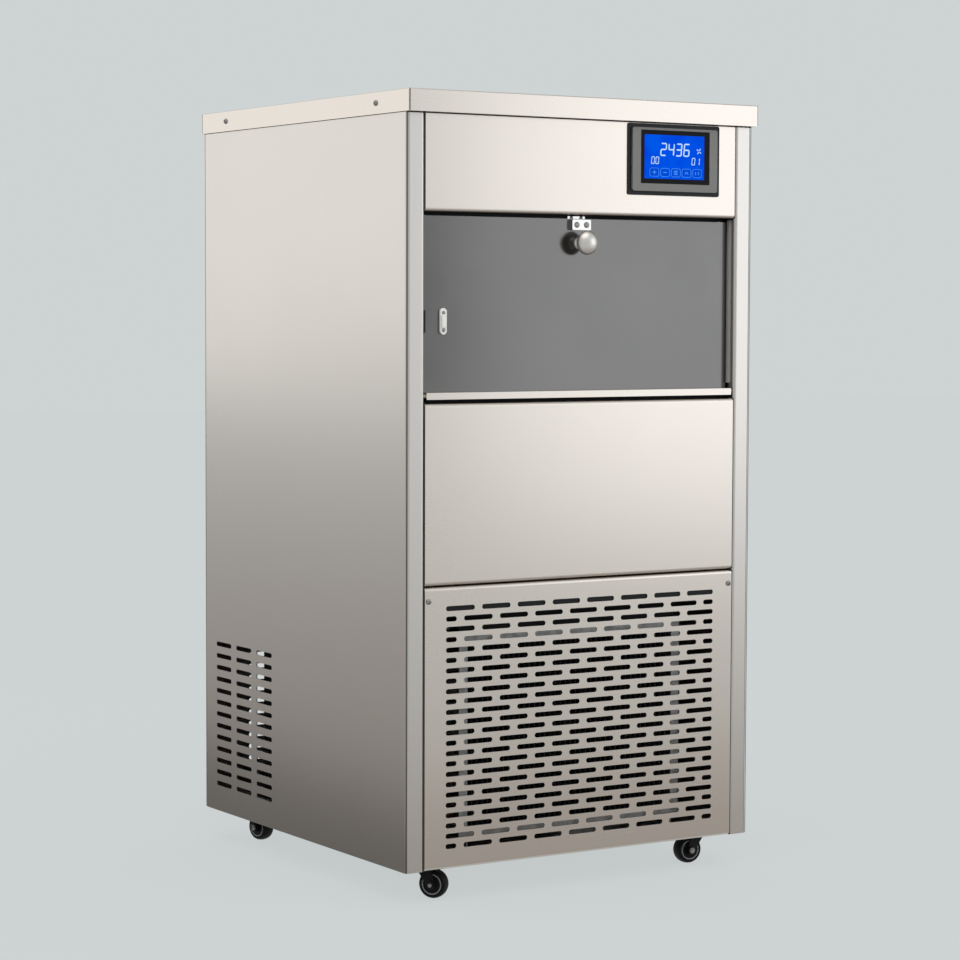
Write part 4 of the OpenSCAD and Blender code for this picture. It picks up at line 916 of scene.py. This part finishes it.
@dataclass
class ControlDisplay:
    """Blue segment display on its black lens, with its marks in screen millimetres."""

    screen_w: float = 90.2 * MM
    screen_h: float = 53.4 * MM
    corner: float = 0.8 * MM
    shift_x: float = -0.9 * MM
    shift_z: float = 0.3 * MM
    layer: float = 0.12 * MM
    slant: float = 0.10
    readouts: tuple[Readout, ...] = (
        Readout("2436", 24.6, 10.4, 11.6, 7.6, 14.4, 1.7),
        Readout("00", 10.4, 27.0, 6.4, 4.2, 8.2, 1.0),
        Readout("01", 71.5, 27.0, 7.0, 4.2, 8.2, 1.0))
    fan_at: Point2 = (82.0, 18.4)
    fan_hub: float = 0.8
    fan_tip: float = 4.2
    fan_blade: float = 1.3
    fan_turns: tuple[float, ...] = (35.0, 125.0, 215.0, 305.0)
    key_at: Point2 = (14.6, 45.6)
    key_step: float = 16.2
    key_size: Point2 = (13.4, 10.0)
    key_corner: float = 2.0
    ring_cut: float = 1.6
    ring_line: float = 0.45
    sign_line: float = 0.9

    def __post_init__(self) -> None:
        """Finds the lens."""
        low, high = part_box("display_lens")
        self.front = low.y
        self.x0 = (low.x + high.x) / 2 + self.shift_x - self.screen_w / 2
        self.z1 = (low.z + high.z) / 2 + self.shift_z + self.screen_h / 2

    def at(self, right: float, down: float) -> Point2:
        """Place on the screen from its upper left corner, in millimetres."""
        return self.x0 + right * MM, self.z1 - down * MM

    def flat(self, bm: BMesh, outline: Sequence[Point2], level: Layer) -> None:
        """Adds a flat mark in its layer over the lens."""
        near, far = (self.front - n * self.layer for n in (level.value, level.value - 1))
        Bench.prism(bm, outline, near, far)

    def bar(self, bm: BMesh, a: Point2, b: Point2, w: float) -> None:
        """Adds a straight bar with pointed ends.

        Args:
            bm: Mesh under construction.
            a: One end.
            b: Other end.
            w: Width.
        """
        start, end = Vector(a), Vector(b)
        along = (end - start).normalized()
        side, tip = Vector((-along.y, along.x)) * w / 2, along * w / 2
        points = [start, start + tip + side, end - tip + side,
                  end, end - tip - side, start + tip - side]
        self.flat(bm, [self.at(*point) for point in points], Layer.MARK)

    def digit(self, bm: BMesh, figure: str, x: float, row: Readout) -> None:
        """Adds one seven-segment figure.

        Args:
            bm: Mesh under construction.
            figure: Figure from 0 to 9.
            x: Its left edge.
            row: Row that it belongs to.
        """
        right, top, low = x + row.width, row.top, row.top + row.height
        middle = top + row.height / 2
        ends = {
            "a": ((x, top), (right, top)), "b": ((right, top), (right, middle)),
            "c": ((right, middle), (right, low)), "d": ((x, low), (right, low)),
            "e": ((x, middle), (x, low)), "f": ((x, top), (x, middle)),
            "g": ((x, middle), (right, middle)),
        }
        for name in SEGMENTS[figure]:
            slanted = [(px + (middle - py) * self.slant, py) for px, py in ends[name]]
            self.bar(bm, *slanted, row.segment)

    def build(self) -> None:
        """Builds screen, readouts, fan sign and keys."""
        bm = bmesh.new()
        middle = self.at(self.screen_w / MM / 2, self.screen_h / MM / 2)
        outline = Bench.soft_rect(*middle, self.screen_w, self.screen_h, self.corner)
        self.flat(bm, outline, Layer.SCREEN)
        Bench.piece("display_screen", bm, SCREEN_BLUE, "cabinet", "lens", smooth=False)
        self.build_readouts()
        self.build_keys()

    def build_readouts(self) -> None:
        """Builds the large and the small figures and the fan sign."""
        bm = bmesh.new()
        for row in self.readouts:
            for i, figure in enumerate(row.figures):
                self.digit(bm, figure, row.left + row.step * i, row)
        x, y = self.fan_at
        for a in map(math.radians, self.fan_turns):
            c, s = math.cos(a), math.sin(a)
            hub, tip = ((x + r * c, y + r * s) for r in (self.fan_hub, self.fan_tip))
            self.bar(bm, hub, tip, self.fan_blade)
        Bench.piece("display_figures", bm, SCREEN_MARK, "cabinet", "lens", smooth=False)

    def build_keys(self) -> None:
        """Builds five touch keys, each with an outline and a plain sign."""
        fills, marks = bmesh.new(), bmesh.new()
        size = [side * MM for side in (*self.key_size, self.key_corner)]
        for k, sign in enumerate(KEY_SIGNS):
            x, y = self.key_at[0] + self.key_step * k, self.key_at[1]
            self.flat(fills, Bench.soft_rect(*self.at(x, y), *size), Layer.KEY)
            for lines, width in ((sign, self.sign_line), (self.ring(), self.ring_line)):
                for (ax, ay), (bx, by) in lines:
                    self.bar(marks, (x + ax, y + ay), (x + bx, y + by), width)
        Bench.piece("display_keys", fills, SCREEN_KEY, "cabinet", "lens", smooth=False)
        Bench.piece("display_key_signs", marks, SCREEN_LINE, "cabinet", "lens", smooth=False)

    def ring(self) -> list[Line]:
        """Outline of a key about its middle.

        Returns:
            Its lines.
        """
        w, h = (side / 2 for side in self.key_size)
        u, v = w - self.ring_cut, h - self.ring_cut
        points = [(-u, -h), (u, -h), (w, -v), (w, v), (u, h), (-u, h), (-w, v), (-w, -v)]
        return list(zip(points, points[1:] + points[:1]))


@dataclass
class CasterTrim:
    """Grey ring in each wheel, and the nut and bolt end on each axle."""

    nut_r: float = 4.6 * MM
    nut_t: float = 2.4 * MM
    nut_flat: float = 0.8
    nut_face: float = 0.86
    nut_sides: int = 6
    bolt_r: float = 2.4 * MM
    bolt_out: float = 1.4 * MM
    bolt_chamfer: float = 0.5 * MM
    bolt_tip: float = 0.75
    bolt_steps: int = 24
    wheel_half: float = 8.0 * MM
    fork_out: float = 13.7 * MM
    ring_in: float = 11.0 * MM
    ring_out: float = 12.4 * MM
    ring_sink: float = 0.6 * MM
    ring_edge: float = 0.1 * MM
    ring_steps: int = 48

    def build(self) -> None:
        """Dresses the four casters from their joints."""
        for joint in frame["joints"]:
            if joint["name"].endswith("_roll"):
                self.dress(joint)

    def dress(self, joint: dict) -> None:
        """Adds ring, nuts and bolt ends to one caster.

        Args:
            joint: Rolling joint of the wheel.
        """
        place = Bench.facing(joint["axis"], joint["pos_m"])
        tag = joint["child"].split("_")[1]
        rings, trim = bmesh.new(), bmesh.new()
        for s in (1.0, -1.0):
            flip = place @ Matrix.Diagonal((1.0, 1.0, s, 1.0))
            Bench.merge(rings, self.ring(), flip)
            Bench.merge(trim, self.nut(), flip)
        Bench.piece(f"wheel_ring_{tag}", rings, RING_GREY, joint["child"], "caster_tread")
        Bench.piece(f"axle_nut_{tag}", trim, SCREW_STEEL, joint["parent"], "polished_steel")

    def ring(self) -> BMesh:
        """Grey ring in one side of the wheel.

        Returns:
            Mesh under construction.
        """
        low, high, e = self.ring_in, self.ring_out, self.ring_edge
        base, top = self.wheel_half - self.ring_sink, self.wheel_half + e
        profile = [(low, base), (low + e, top), (high - e, top), (high, base), (low, base)]
        return Bench.lathe(profile, self.ring_steps)

    def nut(self) -> BMesh:
        """Hexagon nut with a chamfer and the bolt's end, on the axle at its outer side.

        Returns:
            Mesh under construction.
        """
        r, bolt, face = self.nut_r, self.bolt_r, self.fork_out
        base, end = face - self.nut_t, face + self.bolt_out
        bm = Bench.lathe([(0.0, base), (r, base), (r, base + self.nut_flat * self.nut_t),
                          (self.nut_face * r, face), (bolt, face)], self.nut_sides)
        shank = [(bolt, base), (bolt, end - self.bolt_chamfer),
                 (self.bolt_tip * bolt, end), (0.0, end)]
        Bench.merge(bm, Bench.lathe(shank, self.bolt_steps), Matrix.Identity(4))
        return bm


@dataclass
class RearFittings:
    """Thread of the water inlet."""

    pitch: float = 1.8 * MM
    depth: float = 0.5 * MM
    root: float = 0.1 * MM
    flank: float = 0.45
    crest: float = 0.1
    end_gap: float = 1.5 * MM
    turns: int = 7
    steps: int = 40
    lead: float = 8.0

    def build(self) -> None:
        """Winds the thread round the inlet."""
        mount = next(m for m in frame["record"]["mounts"] if m["name"] == "water_inlet")
        x, _, z = mount["pos_m"]
        r = mount["dims"]["r_mm"] * MM
        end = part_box("water_inlet")[1].y - self.end_gap
        count = self.turns * self.steps
        bm = bmesh.new()
        rows = []
        for i in range(count + 1):
            a = math.tau * i / self.steps
            y = end - self.pitch * i / self.steps
            foot = r - self.root
            tip = r + self.depth * min(1.0, i / self.lead, (count - i) / self.lead)
            corners = [(foot, -self.flank), (tip, -self.crest),
                       (tip, self.crest), (foot, self.flank)]
            rows.append([
                bm.verts.new((x + c * math.cos(a), y + t * self.pitch, z + c * math.sin(a)))
                for c, t in corners])
        for a, b in zip(rows, rows[1:]):
            for k in range(4):
                j = (k + 1) % 4
                bm.faces.new((a[k], a[j], b[j], b[k]))
        bm.faces.new(rows[0])
        bm.faces.new(rows[-1][::-1])
        Bench.piece("inlet_thread", bm, TURNED_BRASS, "cabinet", "brass")


@dataclass
class Cabinet:
    """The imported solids, dressed by their slots."""

    eased: tuple[str, ...] = ("grille_panel", "left_side_panel", "right_side_panel")
    edge: float = 0.35 * MM
    edge_steps: int = 2
    edge_angle: float = math.radians(60.0)

    def dress(self) -> None:
        """Gives each solid its finish."""
        slots = {row["node"]: row["material_slot"] for row in frame["record"]["subparts"]}
        for name, obj in frame["nodes"].items():
            finish = NODE_FINISH.get(name, SLOT_FINISH[slots[name]])
            if not obj.material_slots:
                obj.data.materials.append(finish.material)
            for place in obj.material_slots:
                place.material = finish.material
            if name in self.eased:
                self.ease(obj)
            LOG.info("dressed %s with %s", name, finish.name)

    def ease(self, obj: Object) -> None:
        """Eases the punched edges of a sheet, so that they catch the light.

        Args:
            obj: The sheet.
        """
        bevel = obj.modifiers.new("eased", "BEVEL")
        bevel.width, bevel.segments = self.edge, self.edge_steps
        bevel.limit_method, bevel.angle_limit = "ANGLE", self.edge_angle


@dataclass
class FoldLines:
    """Painted shade at the folded corners and in the gaps between the sheets, and the black lip
    over the door.
    """

    reach: float = 1.15 * MM
    proud: float = 0.12 * MM
    ease: float = 0.4 * MM
    # Heights of the painted shade under the top cover, then reach, offset and depth of the painted
    # shade in the upright gaps.
    cover_shade_front: float = 1.4 * MM
    cover_shade_side: float = 0.7 * MM
    gap_shade_reach: float = 0.8 * MM
    gap_shade_off: float = 0.05 * MM
    gap_shade_back: float = 0.6 * MM
    gap_shade_deep: float = 5.0 * MM
    lip: float = 0.8 * MM
    lip_up: float = 0.2 * MM
    lip_height: float = 10.0 * MM
    lip_corner: float = 1.0 * MM

    def build(self) -> None:
        """Draws the painted shade at the folds, then the painted shade in the gaps, and the lip."""
        corners = [("left_side_panel", -1, -1), ("right_side_panel", 1, -1)]
        corners += [("top_cover", sx, sy) for sx in SIDES for sy in SIDES]
        bm = bmesh.new()
        for name, sx, sy in corners:
            low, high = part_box(name)
            at = (low.x if sx < 0 else high.x, low.y if sy < 0 else high.y)
            self.strip(bm, at, (sx, sy), low.z + self.ease, high.z - self.ease)
        # Dark strips at the corners: painted shade at the folds.
        Bench.piece("fold_painted_shade", bm, FOLD_SHADE, "cabinet", "stainless", smooth=False)
        self.build_cover_shade()
        self.build_gap_shade()
        self.build_lip()

    def strip(self, bm: BMesh, at: Point2, way: tuple[int, int], low: float, high: float) -> None:
        """Adds one thin angle of painted shade round a corner.

        Args:
            bm: Mesh under construction.
            at: The corner's x and y.
            way: Outward signs in x and y.
            low: Lower end.
            high: Upper end.
        """
        r, t, e = self.reach, self.proud, self.ease
        plan = [(r, -t), (e, -t), (-t, e), (-t, r), (t, r), (t, e + t), (e + t, t), (r, t)]
        corner = [(at[0] - way[0] * u, at[1] - way[1] * v) for u, v in plan]
        Bench.upright(bm, corner, low, high)

    def build_cover_shade(self) -> None:
        """Lays a dark strip round the tops of the posts and the control panel, just under the top
        cover: painted shade for the gap under the cover's skirt.
        """
        low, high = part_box("left_side_panel")[0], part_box("right_side_panel")[1]
        t, e = self.proud, self.ease
        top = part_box("top_cover")[0].z + t
        bm = bmesh.new()
        Bench.slab(bm, (low.x + e, low.y - t, top - self.cover_shade_front),
                   (high.x - e, low.y + t, top))
        for x in (low.x, high.x):
            Bench.slab(bm, (x - t, low.y + e, top - self.cover_shade_side), (x + t, high.y - e, top))
        # Dark strip under the cover: painted shade.
        Bench.piece("cover_gap_shade", bm, GAP_SHADE_DARK, "cabinet", "rubber", smooth=False)

    def build_gap_shade(self) -> None:
        """Fills the upright gaps between the front panels and the posts with dark strips: painted
        shade for the shadow in those gaps.
        """
        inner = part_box("right_side_panel")[0].x
        bm = bmesh.new()
        for name in ("control_panel", "middle_panel", "grille_panel"):
            low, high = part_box(name)
            front, back = low.y + self.gap_shade_back, low.y + self.gap_shade_deep
            for side in SIDES:
                near, far = sorted((side * (high.x + self.gap_shade_off), side * (inner + self.gap_shade_reach)))
                Bench.slab(bm, (near, front, low.z), (far, back, high.z))
        # Dark strips in the upright gaps: painted shade.
        Bench.piece("panel_gap_shade", bm, GAP_SHADE_DARK, "cabinet", "rubber", smooth=False)

    def build_lip(self) -> None:
        """Lays a black rubber lip on the liner's front, above the door's seal."""
        low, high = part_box("bin_liner")
        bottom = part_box("door_seal")[1].z + self.lip_up
        middle = ((low.x + high.x) / 2, bottom + self.lip_height / 2)
        width = high.x - low.x - self.lip_corner
        outline = Bench.soft_rect(*middle, width, self.lip_height, self.lip_corner)
        bm = bmesh.new()
        Bench.prism(bm, outline, low.y - self.lip, low.y)
        Bench.piece("door_top_lip", bm, BLACK_RUBBER, "cabinet", "rubber", smooth=False)


@dataclass
class AirSeal:
    """Foam strip on the condenser's frame that keeps the air from passing over the fins."""

    height: float = 23.0 * MM
    inset: float = 2.0 * MM
    front: float = 6.0 * MM
    back: float = 32.0 * MM
    corner: float = 5.0 * MM

    def build(self) -> None:
        """Lays the strip along the top of the frame."""
        low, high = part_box("condenser_frame")
        middle = ((low.x + high.x) / 2, high.z + self.height / 2)
        width = high.x - low.x - 2 * self.inset
        outline = Bench.soft_rect(*middle, width, self.height, self.corner)
        bm = bmesh.new()
        Bench.prism(bm, outline, low.y + self.front, low.y + self.back)
        Bench.piece("condenser_seal", bm, JACKET_FOAM, "cabinet", "black_foam")


@dataclass(frozen=True)
class SoftBox:
    """Oblong lamp that looks at a point."""

    name: str
    at: Point3
    to: Point3
    size: Point2
    watts: float
    tint: Color = (1.0, 0.99, 0.975)

    def hang(self) -> None:
        """Adds the lamp to the scene."""
        lamp = bpy.data.lights.new(self.name, "AREA")
        lamp.shape, lamp.energy, lamp.color = "RECTANGLE", self.watts, self.tint
        lamp.size, lamp.size_y = self.size
        obj = bpy.data.objects.new(self.name, lamp)
        obj.location = self.at
        look = Vector(self.to) - Vector(self.at)
        obj.rotation_euler = look.to_track_quat("-Z", "Y").to_euler()
        bpy.context.scene.collection.objects.link(obj)


@dataclass(frozen=True)
class GreyMat:
    """Glowing grey mat on the floor that only shows in the steel."""

    name: str
    low: Point2
    high: Point2
    level: float
    tint: Color = (1.0, 0.97, 0.93)
    height: float = 1.0 * MM

    def lay(self) -> None:
        """Adds the mat to the scene."""
        material = bpy.data.materials.new(self.name)
        tree = Tree.emptied(material)
        color = [self.level * c for c in self.tint]
        light = tree.add("ShaderNodeEmission", {"Color": (*color, 1.0)})
        tree.add("ShaderNodeOutputMaterial", {"Surface": light.outputs[0]})
        obj = Bench.sheet(self.name, self.low, self.high, self.height, material)
        for kind in ("camera", "diffuse", "shadow", "transmission"):
            setattr(obj, f"visible_{kind}", False)


@dataclass
class Studio:
    """Floor, backdrop, soft lights, mats and camera."""

    backdrop: Color = (0.617, 0.651, 0.658)
    fill: Color = (1.0, 0.99, 0.97)
    fill_strength: float = 1.45
    floor_half: float = 14.0
    floor_glow: float = 0.875
    floor_matt: float = 0.08
    lens_mm: float = 103.92
    sensor_mm: float = 36.0
    clip_end: float = 60.0
    eye: Point3 = (-1.8902, -3.0316, 0.7016)
    yaw: float = 32.17
    pitch: float = 3.54
    roll: float = 0.17
    boxes: tuple[SoftBox, ...] = (
        SoftBox("box_front", (1.94, -2.08, 1.10), (0.0, -0.26, 0.75), (1.75, 1.75), 10.0,
                (0.95, 1.0, 1.06)),
        SoftBox("box_side", (-1.15, 1.25, 1.33), (-0.25, 0.0, 0.75), (1.5, 1.7), 4.7),
        SoftBox("box_top", (-0.4, -0.9, 2.6), (0.0, -0.2, 0.5), (2.0, 2.0), 12.5))
    mats: tuple[GreyMat, ...] = (
        GreyMat("mat_side", (-0.64, -0.35), (-0.27, 1.6), 0.14),
        GreyMat("mat_side_far", (-3.2, -0.35), (-0.64, 4.5), 0.38),
        GreyMat("mat_front", (-0.35, -1.0), (1.6, -0.30), 0.42))

    def build(self) -> None:
        """Sets up the whole studio."""
        scene = bpy.context.scene
        scene.view_settings.view_transform = "Standard"
        self.world(scene)
        self.floor()
        for box in self.boxes:
            box.hang()
        for mat in self.mats:
            mat.lay()
        self.camera(scene)

    @staticmethod
    def seen(tree: Tree) -> Socket:
        """One for camera, glossy and transmission rays, zero for the rest.

        Args:
            tree: Tree that takes the nodes.

        Returns:
            Value socket.
        """
        path = tree.add("ShaderNodeLightPath").outputs
        first = tree.math("MAXIMUM", path["Is Camera Ray"], path["Is Glossy Ray"])
        return tree.math("MAXIMUM", first, path["Is Transmission Ray"])

    def world(self, scene: bpy.types.Scene) -> None:
        """Pale backdrop that lights the object softly.

        Args:
            scene: Scene that takes the world.
        """
        scene.world = bpy.data.worlds.new("studio")
        tree = Tree.emptied(scene.world)
        fill = tree.add("ShaderNodeBackground", {
            "Color": (*self.fill, 1.0), "Strength": self.fill_strength})
        shown = tree.add("ShaderNodeBackground", {"Color": (*self.backdrop, 1.0)})
        mix = tree.add("ShaderNodeMixShader", {
            0: self.seen(tree), 1: fill.outputs[0], 2: shown.outputs[0]})
        tree.add("ShaderNodeOutputWorld", {"Surface": mix.outputs[0]})

    def floor(self) -> None:
        """Pale floor that keeps a soft shadow."""
        material = bpy.data.materials.new("floor_pale")
        tree = Tree.emptied(material)
        glow, matt = ((*(c * share for c in self.backdrop), 1.0)
                      for share in (self.floor_glow, self.floor_matt))
        diffuse = tree.add("ShaderNodeBsdfDiffuse", {"Color": matt})
        light = tree.add("ShaderNodeEmission", {"Color": glow, "Strength": self.seen(tree)})
        both = tree.add("ShaderNodeAddShader", {0: diffuse.outputs[0], 1: light.outputs[0]})
        tree.add("ShaderNodeOutputMaterial", {"Surface": both.outputs[0]})
        half = self.floor_half
        Bench.sheet("floor", (-half, -half), (half, half), 0.0, material)

    def camera(self, scene: bpy.types.Scene) -> None:
        """Camera at the photograph's viewing angle.

        Args:
            scene: Scene that takes the camera.
        """
        data = bpy.data.cameras.new("camera")
        data.lens, data.sensor_width = self.lens_mm, self.sensor_mm
        data.clip_end = self.clip_end
        obj = bpy.data.objects.new("camera", data)
        place = Matrix.Translation(self.eye)
        for degrees, axis in ((-self.yaw, "Z"), (90.0 - self.pitch, "X"), (self.roll, "Z")):
            place = place @ Matrix.Rotation(math.radians(degrees), 4, axis)
        obj.matrix_world = place
        scene.collection.objects.link(obj)
        scene.camera = obj


def main() -> None:
    """Builds the machine's looks in order."""
    logging.basicConfig(level=logging.INFO, format="%(name)s: %(message)s")
    Cabinet().dress()
    ControlDisplay().build()
    Fasteners().build()
    DoorFittings().build()
    SideSeals().build()
    CasterTrim().build()
    RearFittings().build()
    FoldLines().build()
    AirSeal().build()
    Studio().build()


if __name__ == "__main__":
    main()
